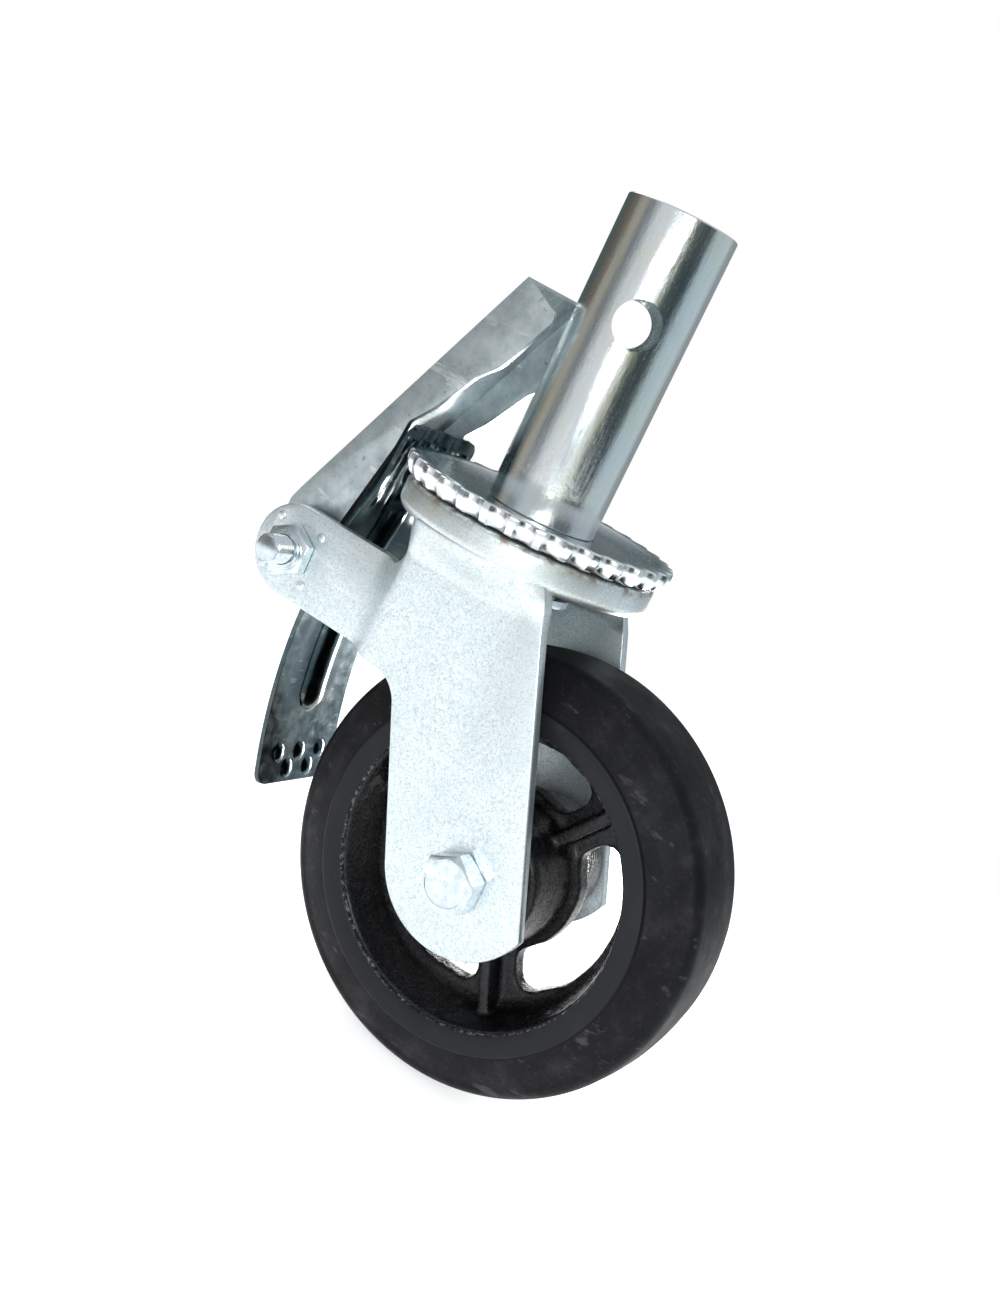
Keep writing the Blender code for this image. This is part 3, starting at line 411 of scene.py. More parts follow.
def blend(value, low, high):
    part = min(1.0, max(0.0, (value - low) / (high - low)))
    return part * part * (3 - 2 * part)


def thread(radius, pitch, depth, bottom, top, hollow_end=0.0008):
    """A screw thread up Z: ridges that climb round a rod, with its top end chamfered."""
    rows_per_turn = 8
    steps = 48
    rows = int((top - bottom) / pitch * rows_per_turn)
    bm = bmesh.new()
    grid = []
    for row in range(rows + 1):
        height = bottom + (top - bottom) * row / rows
        line = []
        for step in range(steps):
            phase = (height / pitch - step / steps) % 1
            groove = abs(phase * 2 - 1)
            end = min(1.0, (top - height) / hollow_end)
            reach = radius - depth * max(0.0, groove * 1.25 - 0.2) - (1 - end) * hollow_end * 0.9
            angle = 2 * pi * step / steps
            line.append(bm.verts.new((reach * cos(angle), reach * sin(angle), height)))
        grid.append(line)
    skin(bm, grid)
    bm.faces.new(grid[0])
    bm.faces.new(grid[-1])
    return to_object(bm)


def hexagon(flats, bottom, top, chamfer_bottom=True):
    """A hexagonal prism with its corners chamfered to a circle."""
    corner = flats / 2 / cos(radians(30))
    drop = (corner - flats / 2) * 0.75
    low = drop if chamfer_bottom else 0
    bm = bmesh.new()
    bmesh.ops.create_cone(
        bm, cap_ends=True, segments=6, radius1=corner, radius2=corner, depth=top - bottom
    )
    bmesh.ops.translate(bm, vec=(0, 0, (top + bottom) / 2), verts=bm.verts)
    prism = to_object(bm)
    inside = flats / 2 * 0.97
    wide = corner * 1.02
    shape = turned(
        [
            (0, top),
            (inside, top),
            (wide, top - drop),
            (wide, bottom + low),
            (inside if low else wide, bottom),
            (0, bottom),
        ],
        TURN,
    )
    return combined(prism, shape, "INTERSECT")


# ---- material tools ----
def wire(look, node, sockets):
    """Sets or links each socket. In a name, _ stands for a space; in3 is the fourth socket."""
    for key, value in sockets.items():
        number = key.removeprefix("in")
        socket = node.inputs[int(number) if number.isdigit() else key.replace("_", " ")]
        if isinstance(value, bpy.types.NodeSocket):
            look.node_tree.links.new(value, socket)
        else:
            socket.default_value = value


def add(look, kind, settings=None, **sockets):
    """A node of the material or the world."""
    node = look.node_tree.nodes.new("ShaderNode" + kind)
    for key, value in (settings or {}).items():
        setattr(node, key, value)
    wire(look, node, sockets)
    return node


def place_of(look, stretch=(1, 1, 1)):
    """Where a point is in the row frame, stretched."""
    coords = add(look, "TexCoord").outputs["Object"]
    return add(look, "Mapping", Vector=coords, Scale=stretch).outputs[0]


def grain(look, scale, detail=4.0, rough=0.6, stretch=(1, 1, 1)):
    """Soft noise. The scale counts blotches in a metre."""
    where = place_of(look, stretch)
    made = add(look, "TexNoise", Vector=where, Scale=scale, Detail=detail, Roughness=rough)
    return made.outputs["Fac"]


def cells(look, scale, stretch=(1, 1, 1)):
    """A random value for each crystal-like cell."""
    made = add(look, "TexVoronoi", Vector=place_of(look, stretch), Scale=scale)
    return add(look, "SeparateColor", Color=made.outputs["Color"]).outputs[0]


def between(look, value, low, high, out_low=0.0, out_high=1.0):
    """The value's place between low and high, as a number from out_low to out_high."""
    ends = {"in1": low, "in2": high, "in3": out_low, "in4": out_high}
    return add(look, "MapRange", {"clamp": True}, in0=value, **ends).outputs[0]


def sums(look, operation, first, second=0.0):
    return add(look, "Math", {"operation": operation}, in0=first, in1=second).outputs[0]


def spots(look, noise_of, *ends):
    """Blotches of noise between two levels; noise_of is what grain takes."""
    return between(look, grain(look, *noise_of), *ends)


def times(look, first, second):
    return sums(look, "MULTIPLY", first, second)


def mix(look, factor, first, second):
    """The first colour, and the second where the factor is 1."""
    made = add(look, "Mix", {"data_type": "RGBA"}, in0=factor)
    for key, value in (("in6", first), ("in7", second)):
        wire(look, made, {key: value if isinstance(value, bpy.types.NodeSocket) else (*value, 1)})
    return made.outputs[2]


def coated(look, mask, share, first, second):
    """The first colour, with that share of the second laid over it where the mask is 1."""
    return mix(look, times(look, mask, share), first, second)


def ramp(look, value, *stops):
    """A colour for each value, from stops of (value, colour)."""
    made = add(look, "ValToRGB", Fac=value)
    band = made.color_ramp
    while len(band.elements) < len(stops):
        band.elements.new(0.5)
    for element, (place, colour) in zip(band.elements, stops):
        element.position = place
        element.color = (*colour, 1)
    return made.outputs[0]


def bumped(look, height, depth, strength=1.0, under=None):
    """A normal that tilts with this height, laid over another one."""
    made = add(look, "Bump", Strength=strength, Distance=depth, Height=height)
    if under:
        wire(look, made, {"Normal": under})
    return made.outputs[0]


def finish_look(look, colour, roughness, normal=None, metallic=1.0, **sockets):
    """Gives the material's shader its colour, roughness and the rest."""
    sockets.update(Base_Color=colour, Roughness=roughness, Metallic=metallic)
    if normal:
        sockets["Normal"] = normal
    wire(look, look.node_tree.nodes["Principled BSDF"], sockets)
    return look


def new_look(name):
    look = bpy.data.materials.new(name)
    look.use_nodes = True
    return look


def height_in(look, low, high):
    """0 at one height of the row frame and 1 at another."""
    coords = add(look, "TexCoord").outputs["Object"]
    return between(look, add(look, "SeparateXYZ", Vector=coords).outputs[2], low, high)


# ---- the looks ----
def bright_zinc(name, tint=(0.80, 0.86, 0.88), low=0.10, high=0.26, streak=(1, 1, 0.06)):
    """Polished zinc: drawn-tube streaks, faint passivation tints, rub marks."""
    look = new_look(name)
    lines = grain(look, 900, 5, 0.65, streak)
    clouds = grain(look, 55, 3)
    pits = spots(look, (1500, 2), 0.62, 0.74)
    yellowed = (tint[0], tint[1] * 0.965, tint[2] * 0.86)
    warm = mix(look, between(look, clouds, 0.45, 0.68), tint, yellowed)
    cool = mix(look, spots(look, (85, 2), 0.55, 0.72, 0, 0.5), warm, (0.74, 0.72, 0.86))
    shaded = tuple(c * 0.72 for c in tint)
    streaked = mix(look, between(look, lines, 0.3, 0.75, 0, 0.35), cool, shaded)
    colour = coated(look, pits, 0.4, streaked, (0.42, 0.41, 0.40))
    rough = sums(look, "ADD", between(look, lines, 0.3, 0.7, low, high), times(look, pits, 0.15))
    waves = grain(look, 480, 5, 0.7, (1, 1, 0.35))
    normal = bumped(look, lines, 0.00001, 0.5, bumped(look, waves, 0.00016, 0.5))
    return finish_look(look, colour, rough, normal)


def spangled_zinc():
    """Hot-dip zinc on the pressed fork: fine crystal grains, a yellowish water stain that is partly
    painted shade under the crown's bead, rust at the crown.
    """
    look = new_look("spangled_zinc")
    fine = cells(look, 3400)
    broad = cells(look, 1900, (1, 1, 0.8))
    dust = grain(look, 2600, 2)
    sparkle = sums(look, "ADD", times(look, fine, 0.6), times(look, broad, 0.4))
    base = ramp(
        look, sparkle, (0.14, (0.50, 0.56, 0.58)), (0.34, (0.68, 0.75, 0.77)),
        (0.75, (0.76, 0.84, 0.86)), (0.95, (0.92, 0.96, 0.97)),
    )
    clouded = mix(look, spots(look, (60, 4), 0.45, 0.75, 0, 0.3), base, (0.56, 0.62, 0.62))
    # Yellowish and darker up to the crown's bead: partly a real stain, partly painted shade under
    # the bead.
    stain_and_shade_under_bead = times(look, height_in(look, -0.030, -0.0165), spots(look, (130, 4), 0.40, 0.62))
    stained_and_shaded = coated(look, stain_and_shade_under_bead, 0.30, clouded, (0.66, 0.64, 0.50))
    rusty = times(look, height_in(look, -0.0085, -0.0055), spots(look, (210, 5), 0.46, 0.60))
    rusted = coated(look, rusty, 0.75, stained_and_shaded, (0.20, 0.115, 0.055))
    scratch = spots(look, (420, 3, 0.5, (0.08, 1, 1)), 0.64, 0.70)
    colour = coated(look, scratch, 0.35, rusted, (0.93, 0.94, 0.95))
    rough = sums(
        look, "ADD", between(look, sparkle, 0.1, 0.9, 0.50, 0.30), times(look, rusty, 0.25)
    )
    normal = bumped(look, sparkle, 0.000022, 0.6)
    return finish_look(look, colour, rough, bumped(look, dust, 0.00001, 0.35, normal), 0.92)


def grey_zinc():
    """Dull mottled zinc on the pedal, with bright scuffs and drip marks."""
    look = new_look("grey_mottled_zinc")
    patches = grain(look, 120, 5, 0.6)
    fine = cells(look, 1700)
    base = ramp(
        look, patches, (0.30, (0.30, 0.35, 0.36)), (0.48, (0.46, 0.53, 0.55)),
        (0.66, (0.62, 0.70, 0.71)),
    )
    speckled = mix(look, between(look, fine, 0.2, 0.95, 0, 0.35), base, (0.60, 0.62, 0.63))
    scratch = spots(look, (520, 3, 0.5, (0.12, 1, 0.5)), 0.63, 0.69)
    scuffed = coated(look, scratch, 0.6, speckled, (0.86, 0.88, 0.88))
    dark_spots = spots(look, (330, 3), 0.66, 0.72)
    colour = coated(look, dark_spots, 0.5, scuffed, (0.10, 0.11, 0.12))
    rough = between(look, patches, 0.3, 0.7, 0.44, 0.30)
    normal = bumped(look, grain(look, 900, 4), 0.00003, 0.5)
    return finish_look(look, colour, rough, normal)


def dark_zinc():
    """Dark glossy passivated sheet, teal to grey, with pale rub lines."""
    look = new_look("dark_glossy_zinc")
    clouds = grain(look, 70, 4)
    base = ramp(
        look, clouds, (0.32, (0.038, 0.062, 0.074)), (0.55, (0.060, 0.092, 0.106)),
        (0.78, (0.12, 0.16, 0.17)),
    )
    rubs = spots(look, (420, 4, 0.55, (1, 0.25, 1)), 0.60, 0.68)
    rubbed = coated(look, rubs, 0.25, base, (0.34, 0.40, 0.42))
    warm = mix(look, spots(look, (35, 2), 0.56, 0.70, 0, 0.5), rubbed, (0.16, 0.16, 0.13))
    rough = spots(look, (260, 4), 0.35, 0.7, 0.14, 0.28)
    return finish_look(look, warm, rough, bumped(look, grain(look, 700, 3), 0.00002, 0.4))


def fastener_zinc():
    """Bluish bright zinc on the bolts and nuts, worn pale and pitted."""
    look = new_look("fastener_zinc")
    clouds = grain(look, 260, 4)
    base = ramp(
        look, clouds, (0.34, (0.56, 0.63, 0.66)), (0.5, (0.68, 0.75, 0.78)),
        (0.68, (0.80, 0.86, 0.88)),
    )
    tinted = mix(look, spots(look, (150, 2), 0.55, 0.70, 0, 0.35), base, (0.58, 0.66, 0.78))
    pits = spots(look, (1300, 3), 0.62, 0.70)
    colour = coated(look, pits, 0.6, tinted, (0.22, 0.22, 0.22))
    rough = between(look, clouds, 0.3, 0.7, 0.26, 0.15)
    return finish_look(look, colour, rough, bumped(look, grain(look, 1100, 4), 0.00002, 0.4))


def black_iron():
    """Black-enamelled iron casting: grainy, lumpy and glossy."""
    look = new_look("black_enamelled_iron")
    sand = grain(look, 700, 5, 0.7)
    lumps = grain(look, 160, 3)
    colour = ramp(
        look, lumps, (0.35, (0.002, 0.002, 0.0025)), (0.6, (0.004, 0.004, 0.005)),
        (0.78, (0.012, 0.012, 0.014)),
    )
    rough = between(look, sand, 0.3, 0.7, 0.16, 0.36)
    normal = bumped(look, sand, 0.0006, 0.9, bumped(look, lumps, 0.0008, 0.6))
    return finish_look(
        look,
        colour,
        rough,
        normal,
        0.0,
        Specular_IOR_Level=0.4,
        Coat_Weight=0.2,
        Coat_Roughness=0.10,
    )


def rubber():
    """Moulded black rubber with pale bloom, handling scuffs, a satin lip round the rim and painted
    shade in the lip's step.
    """
    look = new_look("black_moulded_rubber")
    coords = add(look, "TexCoord").outputs["Object"]
    away = add(look, "VectorMath", {"operation": "SUBTRACT"}, in0=coords, in1=tuple(AXLE))
    flat = add(look, "VectorMath", {"operation": "MULTIPLY"}, in0=away.outputs[0], in1=(1, 0, 1))
    radius = add(look, "VectorMath", {"operation": "LENGTH"}, in0=flat.outputs[0]).outputs["Value"]
    patches = grain(look, 75, 5, 0.65)
    fine = grain(look, 620, 5, 0.7)
    base = ramp(
        look, patches, (0.32, (0.004, 0.004, 0.0045)), (0.54, (0.008, 0.008, 0.009)),
        (0.74, (0.026, 0.025, 0.030)),
    )
    dusty = mix(look, between(look, fine, 0.55, 0.80, 0, 0.4), base, (0.055, 0.053, 0.060))
    smears = spots(look, (240, 4, 0.6, (0.3, 1, 1)), 0.62, 0.72)
    scuffed = coated(look, smears, 0.35, dusty, (0.13, 0.125, 0.14))
    lip = between(look, radius, STEP_RADIUS, STEP_RADIUS - 0.0004)
    lipped = coated(look, lip, 0.8, scuffed, (0.021, 0.022, 0.025))
    # Painted shade: a thin dark ring where the lip steps down to the sidewall.
    line = between(
        look,
        sums(look, "ABSOLUTE", sums(look, "SUBTRACT", radius, STEP_RADIUS), 0.0),
        0.0006,
        0.0002,
    )
    colour = mix(look, line, lipped, (0.006, 0.006, 0.007))
    wear = times(
        look, between(look, radius, LIP_RADIUS + 0.0006, LIP_RADIUS), between(look, fine, 0.5, 0.62)
    )
    colour = coated(look, wear, 0.7, colour, (0.45, 0.45, 0.44))
    rough = sums(
        look, "SUBTRACT", between(look, patches, 0.3, 0.7, 0.58, 0.42), times(look, lip, 0.12)
    )
    normal = bumped(look, fine, 0.00007, 0.6)
    return finish_look(look, colour, rough, normal, 0.0, Specular_IOR_Level=0.13)


def plain_steel(name, colour, rough):
    """Turned or ground steel or brass inside the bearings."""
    look = new_look(name)
    lines = grain(look, 1300, 3)
    worn = tuple(c * 0.7 for c in colour)
    shade = mix(look, between(look, lines, 0.35, 0.7, 0, 0.4), colour, worn)
    roughness = between(look, lines, 0.3, 0.7, rough, rough + 0.12)
    return finish_look(look, shade, roughness, bumped(look, lines, 0.00001, 0.3))


def seal_rubber():
    look = new_look("seal_rubber")
    colour = ramp(
        look, grain(look, 500), (0.3, (0.014, 0.014, 0.015)), (0.7, (0.045, 0.043, 0.042))
    )
    return finish_look(look, colour, 0.5, None, 0.0)


# Each finish is a look and the record's material slot that it stands for.
ZINC = spangled_zinc(), "zinc"
BRIGHT = bright_zinc("bright_drawn_zinc"), "bright_zinc"
DISC = (
    bright_zinc("bright_pressed_zinc", (0.82, 0.87, 0.90), 0.12, 0.28, (1, 1, 1)),
    "bright_zinc",
)
FASTENER = fastener_zinc(), "fastener_zinc"
GREY = grey_zinc(), "grey_zinc"
DARK = dark_zinc(), "dark_zinc"
IRON = black_iron(), "black_iron"
RUBBER = rubber(), "rubber"
STEEL = plain_steel("ground_bearing_steel", (0.66, 0.66, 0.64), 0.16), "bearing_steel"
SEAL = seal_rubber(), "seal"
SPRING_LOOK = plain_steel("oiled_spring_steel", (0.30, 0.30, 0.29), 0.30)
CAGE_LOOK = plain_steel("stamped_cage_brass", (0.62, 0.46, 0.20), 0.26)


# ---- stem and swivel disc ----
def make_stem():
    bore = STEM_RADIUS - STEM_WALL
    tube = ring(bore, STEM_RADIUS, 0, STEM_LENGTH, ROUND, 0.0006)
    hole = rod(PIN_HOLE_RADIUS, -0.03, 0.03)
    lie_down = Matrix.Rotation(radians(90), 4, "Y")
    face = Matrix.Rotation(PIN_HOLE_AZIMUTH, 4, "Z")
    moved(hole, Matrix.Translation((0, 0, PIN_HOLE_HEIGHT)) @ face @ lie_down)
    piece(cut(tube, hole), "stem_tube_drawn", "stem", BRIGHT, "stem_tube")
    low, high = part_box("stem_plug")
    plug = ring(KING_HOLE, high.x, low.z, high.z, ROUND)
    piece(plug, "stem_plug_turned", "stem", FASTENER, "stem_plug")


def flute_reach(turn):
    """How far the disc's edge stands from the axis at this angle, given from a flute's middle."""
    centre = DISC_RADIUS - SCALLOP_DEPTH + SCALLOP_RADIUS
    across = centre * sin(turn)
    if abs(across) >= SCALLOP_RADIUS:
        return DISC_RADIUS
    return min(DISC_RADIUS, centre * cos(turn) - sqrt(SCALLOP_RADIUS**2 - across**2))


def make_disc():
    """The pressed disc: flat seat, shallow bowl, raised crease and a fluted rim with soft edges."""
    centre = DISC_RADIUS - SCALLOP_DEPTH + SCALLOP_RADIUS
    corner = acos((DISC_RADIUS**2 + centre**2 - SCALLOP_RADIUS**2) / (2 * DISC_RADIUS * centre))
    pitch = 2 * pi / SCALLOP_COUNT
    flute_steps, crest_steps = 10, 3
    turns = [corner * (2 * step / flute_steps - 1) for step in range(flute_steps + 1)]
    turns += [corner + (pitch - 2 * corner) * step / crest_steps for step in range(1, crest_steps)]
    edge = 0.0009
    rise, drop = DISC_RIM_RISE, -DISC_RIM_DROP
    inner = [
        (KING_HOLE, -GAP), (STEM_RADIUS + RUNNING_GAP, -GAP), (STEM_RADIUS + RUNNING_GAP, 0),
        (DISC_SEAT_RADIUS - 0.001, 0), (DISC_SEAT_RADIUS + 0.001, 0.0001), (0.036, 0.0009),
        (0.0405, 0.0017), (0.0420, 0.0021), (0.0430, 0.00245), (0.0438, rise),
    ]
    rim = [(0.0020, rise), (edge, rise)]
    rim += [(edge * (1 - sin(a)), rise - edge * (1 - cos(a))) for a in (0.4, 0.8, 1.2)]
    rim += [(0, rise - edge), (0, 0.0004), (0.0002, -0.0008), (0.0008, -0.0020), (0.0015, -0.0032)]
    rim += [(0.0022, drop + 0.0003), (0.0028, drop), (0.0034, drop)]
    under = [
        (0.0425, drop), (0.0418, -DISC_THICKNESS - 0.0003), (0.0410, -DISC_THICKNESS),
        (KING_HOLE, -DISC_THICKNESS),
    ]
    bm = bmesh.new()
    columns = []
    for index in range(SCALLOP_COUNT):
        for turn in turns:
            reach = flute_reach(turn)
            angle = pitch * index + turn
            column = list(inner) + [(reach - back, height) for back, height in rim] + list(under)
            columns.append([bm.verts.new((r * cos(angle), r * sin(angle), z)) for r, z in column])
    skin(bm, columns + columns[:1])
    disc = to_object(bm)
    piece(disc, "swivel_disc_pressed", "stem", DISC, "swivel_disc", sharp=30)


# ---- fork ----
def leg_outline():
    """A leg, its round foot and its ear as one (x, z) outline."""
    top = (CROWN_TOP + CROWN_BOTTOM) / 2
    foot = (AXLE.x, AXLE.z + FOOT_RISE)
    front = (LEG_FRONT_X, top)
    across = Vector((cos(LEG_FRONT_SLOPE), sin(LEG_FRONT_SLOPE)))
    offset = (Vector(front) - Vector(foot)).dot(across)
    front_angle = LEG_FRONT_SLOPE - acos(offset / FOOT_RADIUS)
    rear_angle = LEG_REAR_SLOPE - pi
    ear_top = PIVOT.z + EAR_RADIUS
    ear_bottom = PIVOT.z - EAR_RADIUS
    tangent = Vector(foot) + FOOT_RADIUS * Vector((cos(rear_angle), sin(rear_angle)))
    armpit_x = tangent.x - (ear_bottom - tangent.y) * tan(LEG_REAR_SLOPE)
    armpit = rounded(
        [(*tangent, 0), (armpit_x, ear_bottom, ARMPIT_RADIUS), (PIVOT.x, ear_bottom, 0)], 14
    )
    notch = rounded(
        [(PIVOT.x, ear_top, 0), (LEG_REAR_X, ear_top, NOTCH_RADIUS), (LEG_REAR_X, top, 0)], 10
    )
    ear = arc((PIVOT.x, PIVOT.z), EAR_RADIUS, -pi / 2, -3 * pi / 2, 36)
    return [
        front,
        *arc(foot, FOOT_RADIUS, front_angle, rear_angle, 54)[:-1],
        *armpit[:-1],
        *ear[1:-1],
        *notch[:-1],
        (LEG_REAR_X - 0.002, top),
    ]


def make_leg(side):
    """A leg: worn edges, its ear set in by a joggle, its top flared out to the crown's bead."""
    leg = bevelled(slab(leg_outline(), LEG_THICKNESS / 2), 0.0007, 3, 60)
    bm = bmesh.new()
    bm.from_mesh(leg.data)
    bpy.data.objects.remove(leg, do_unlink=True)
    # Rows of points where the joggle and the flare bend the sheet.
    cuts = [((-0.034 + 0.0015 * step, 0, 0), (1, 0, 0)) for step in range(13)]
    cuts += [((-0.012 + 0.005 * step, 0, 0), (1, 0, 0)) for step in range(8)]
    cuts += [((0, 0, FLARE_BOTTOM + 0.0015 * step), (0, 0, 1)) for step in range(10)]
    for place, facing in cuts:
        everything = list(bm.verts) + list(bm.edges) + list(bm.faces)
        bmesh.ops.bisect_plane(bm, geom=everything, plane_co=place, plane_no=facing)
    for vert in bm.verts:
        x, z = vert.co.x, vert.co.z
        inset = EAR_JOGGLE * blend(-x, -JOGGLE_START_X, -JOGGLE_END_X)
        edge = sqrt((CROWN_RADIUS - 0.0003) ** 2 - min(x * x, 0.0015))
        flare = (edge - LEG_OUTER_Y) * blend(z, FLARE_BOTTOM, FLARE_TOP)
        vert.co.y += side * (LEG_OUTER_Y - LEG_THICKNESS / 2 - inset + flare)
    bmesh.ops.triangulate(bm, faces=bm.faces)
    return to_object(bm)


def make_fork():
    lip_inner = CROWN_RADIUS - CROWN_LIP_WIDTH
    lip_round = CROWN_LIP_WIDTH * 0.35
    edge = CROWN_EDGE_ROUND
    crown = turned(
        [
            (CROWN_BORE, CROWN_TOP), (lip_inner - 0.001, CROWN_TOP),
            (lip_inner, CROWN_TOP + 0.001), (lip_inner, CROWN_LIP_TOP),
            *arc((CROWN_RADIUS - lip_round, CROWN_LIP_TOP - lip_round), lip_round, pi / 2, 0, 6),
            *arc((CROWN_RADIUS - edge, CROWN_BOTTOM + edge), edge, 0, -pi / 2, 8),
            (CROWN_BORE, CROWN_BOTTOM),
        ]
    )
    fork = joined(crown, make_leg(-1), make_leg(1))
    pip_ring = (EAR_RADIUS + PIVOT_FLATS / sqrt(3)) / 2
    bm = bmesh.new()
    for quarter in range(4):
        turn = radians(45) + quarter * pi / 2
        place = PIVOT + Vector((pip_ring * cos(turn), -EAR_OUTER_Y, pip_ring * sin(turn)))
        pip = bmesh.ops.create_uvsphere(bm, u_segments=20, v_segments=12, radius=0.0017)["verts"]
        bmesh.ops.scale(bm, vec=(1, 0.45, 1), verts=pip)
        bmesh.ops.translate(bm, vec=place, verts=pip)
    fork = joined(fork, to_object(bm))
    span = LEG_OUTER_Y * 2
    fork = cut(
        fork,
        along_y(rod(AXLE_HOLE, -span, span), AXLE),
        along_y(rod(PIVOT_HOLE, -span, span), PIVOT),
    )
    piece(fork, "fork_pressed", "fork", ZINC, "fork", sharp=35)


# ---- wheel ----
def window_outline():
    """One window between two spokes, with its corners rounded."""
    sector = 2 * pi / SPOKE_COUNT
    half = SPOKE_WIDTH / 2
    outer_slip, inner_slip = asin(half / WINDOW_OUTER), asin(half / WINDOW_INNER)
    outer = arc((0, 0), WINDOW_OUTER, outer_slip, sector - outer_slip, 20)
    inner = arc((0, 0), WINDOW_INNER, sector - inner_slip, inner_slip, 20)
    return rounded(
        [
            (*outer[0], WINDOW_ROUND),
            *[(*point, 0) for point in outer[5:-5]],
            (*outer[-1], WINDOW_ROUND),
            (*inner[0], WINDOW_ROUND * 0.8),
            *[(*point, 0) for point in inner[5:-5]],
            (*inner[-1], WINDOW_ROUND * 0.8),
        ],
        8,
    )


def make_wheel_core():
    """An iron casting: rim, web with three windows, ribbed spokes and a hub, skin softened."""
    rim_inner = RIM_RADIUS - RIM_WALL
    half_rim, half_web, half_hub = RIM_WIDTH / 2, WEB_THICKNESS / 2, HUB_WIDTH / 2
    upper = [
        (HUB_BORE, half_hub), (HUB_RADIUS - 0.001, half_hub), (HUB_RADIUS, half_hub - 0.001),
        (HUB_RADIUS + 0.0022, half_web + 0.002), (HUB_RADIUS + 0.0045, half_web),
        (rim_inner - 0.0045, half_web), (rim_inner - 0.0015, half_web + 0.0025),
        (rim_inner + RIM_DRAFT, half_rim), (RIM_RADIUS, half_rim),
    ]
    core = turned(upper + mirrored(upper), 96)
    for index in range(SPOKE_COUNT):
        spin = Matrix.Rotation(SPOKE_ANGLE + 2 * pi * index / SPOKE_COUNT, 4, "Z")
        window = moved(slab(window_outline(), WEB_THICKNESS * 2), UPRIGHT_TO_FLAT)
        core = cut(core, moved(window, spin))
        reach = half_web + RIB_HEIGHT
        bm = bmesh.new()
        bmesh.ops.create_cube(bm, size=1)
        low, high = HUB_RADIUS - 0.002, RIM_RADIUS - 0.001
        bmesh.ops.scale(bm, vec=(high - low, RIB_THICKNESS, 2 * reach), verts=bm.verts)
        bmesh.ops.translate(bm, vec=((high + low) / 2, 0, 0), verts=bm.verts)
        core = joined(core, moved(to_object(bm), spin))
    core = remeshed(core, CAST_VOXEL, 5)
    normals = [vert.normal.copy() for vert in core.data.vertices]
    for vert, normal in zip(core.data.vertices, normals):
        lump = sum(noise.noise(vert.co * scale) * height for scale, height in CAST_LUMPS)
        around = hypot(vert.co.x, vert.co.y)
        if HUB_RADIUS < around < RIM_RADIUS - 0.002:
            vert.co += normal * lump
        elif around < HUB_BORE + 0.0004:
            vert.co.xy *= HUB_BORE / around
    piece(along_y(core, AXLE), "wheel_core_cast", "wheel", IRON, "wheel_core", sharp=60)


def make_tyre():
    half = TYRE_WIDTH / 2
    half_rim = RIM_WIDTH / 2 + GAP
    shoulder = SHOULDER_WIDTH / 2
    tread = shoulder - TREAD_ROUND
    rise = WHEEL_RADIUS - CROWN_RISE - SHOULDER_RADIUS
    upper = [
        (RIM_RADIUS + GAP, half_rim), (LIP_RADIUS, half_rim), (LIP_RADIUS, half - 0.0012),
        (LIP_RADIUS + 0.0002, half - 0.0007), (LIP_RADIUS + 0.0008, half - 0.0003),
        (STEP_RADIUS - 0.0008, half), (STEP_RADIUS - 0.0003, half - 0.0002),
        (STEP_RADIUS, half - 0.0011), (STEP_RADIUS + 0.0004, half - 0.0012),
        (SHOULDER_RADIUS - 0.0015, shoulder + 0.0008), (SHOULDER_RADIUS, shoulder),
    ]
    for turn in map(radians, (10, 22, 34, 46, 58, 70, 80, 90)):
        drop = TREAD_ROUND * (1 - cos(turn)) * 1.4
        upper.append((SHOULDER_RADIUS + rise * sin(turn), shoulder - drop))
    upper.append((WHEEL_RADIUS - CROWN_RISE * 0.3, tread * 0.45))
    tyre = turned(upper + [(WHEEL_RADIUS, 0)] + mirrored(upper), 192)
    piece(along_y(tyre, AXLE), "tyre_moulded", "wheel", RUBBER, "tyre", sharp=50)


# ---- brake plate ----
def plate_back(z):
    """The x of the plate's back face, which is curved round the wheel."""
    sag = PLATE_CURVE_RADIUS - sqrt(PLATE_CURVE_RADIUS**2 - (z - PLATE_CURVE_Z) ** 2)
    return PLATE_REAR_X + sag


def comb_ridge(z):
    """How far the comb's ridges stand from the stem's axis, leaning back by the rock's travel."""
    return DISC_RADIUS + GAP + (ROCK.z - z) * tan(ROCK_TRAVEL)


def comb_back(y, z):
    return -sqrt((comb_ridge(z) + 2 * COMB_WAVE + PLATE_SHEET) ** 2 - y**2)


def plate_front(y, z):
    """The x of the plate's front face: shoe, comb, bead and dimples."""
    shoe = plate_back(z) + PLATE_SHEET
    ridge = comb_ridge(z)
    turn = asin(y / ridge)
    comb = -(ridge + COMB_WAVE * (1 - cos(SCALLOP_COUNT * turn))) * cos(turn)
    x = shoe + (comb - shoe) * blend(z, COMB_BOTTOM - COMB_BLEND, COMB_BOTTOM)
    past = max(BEAD_BOTTOM - z, z - BEAD_TOP, 0)
    reach = hypot(y, past) / BEAD_HALF_WIDTH
    if reach < 1:
        x += BEAD_HEIGHT * (1 - reach**2) ** 0.75 * (0.9 + 0.1 * (1 - reach))
    for row, height in enumerate(DIMPLE_ROWS):
        for index in range(3 - row):
            middle = (index - (2 - row) / 2) * DIMPLE_PITCH
            away = hypot(y - middle, z - height) / DIMPLE_RADIUS
            if away < 1:
                x += DIMPLE_HEIGHT * (1 - away**2) ** 0.8
    return x


def capsule(start, end, radius, steps):
    """The outline of a slot from one point to another."""
    along = end - start
    turn = atan2(along.y, along.x)
    quarter = pi / 2
    return [
        *arc(start, radius, turn + quarter, turn + 3 * quarter, steps),
        *arc(end, radius, turn - quarter, turn + quarter, steps),
    ]


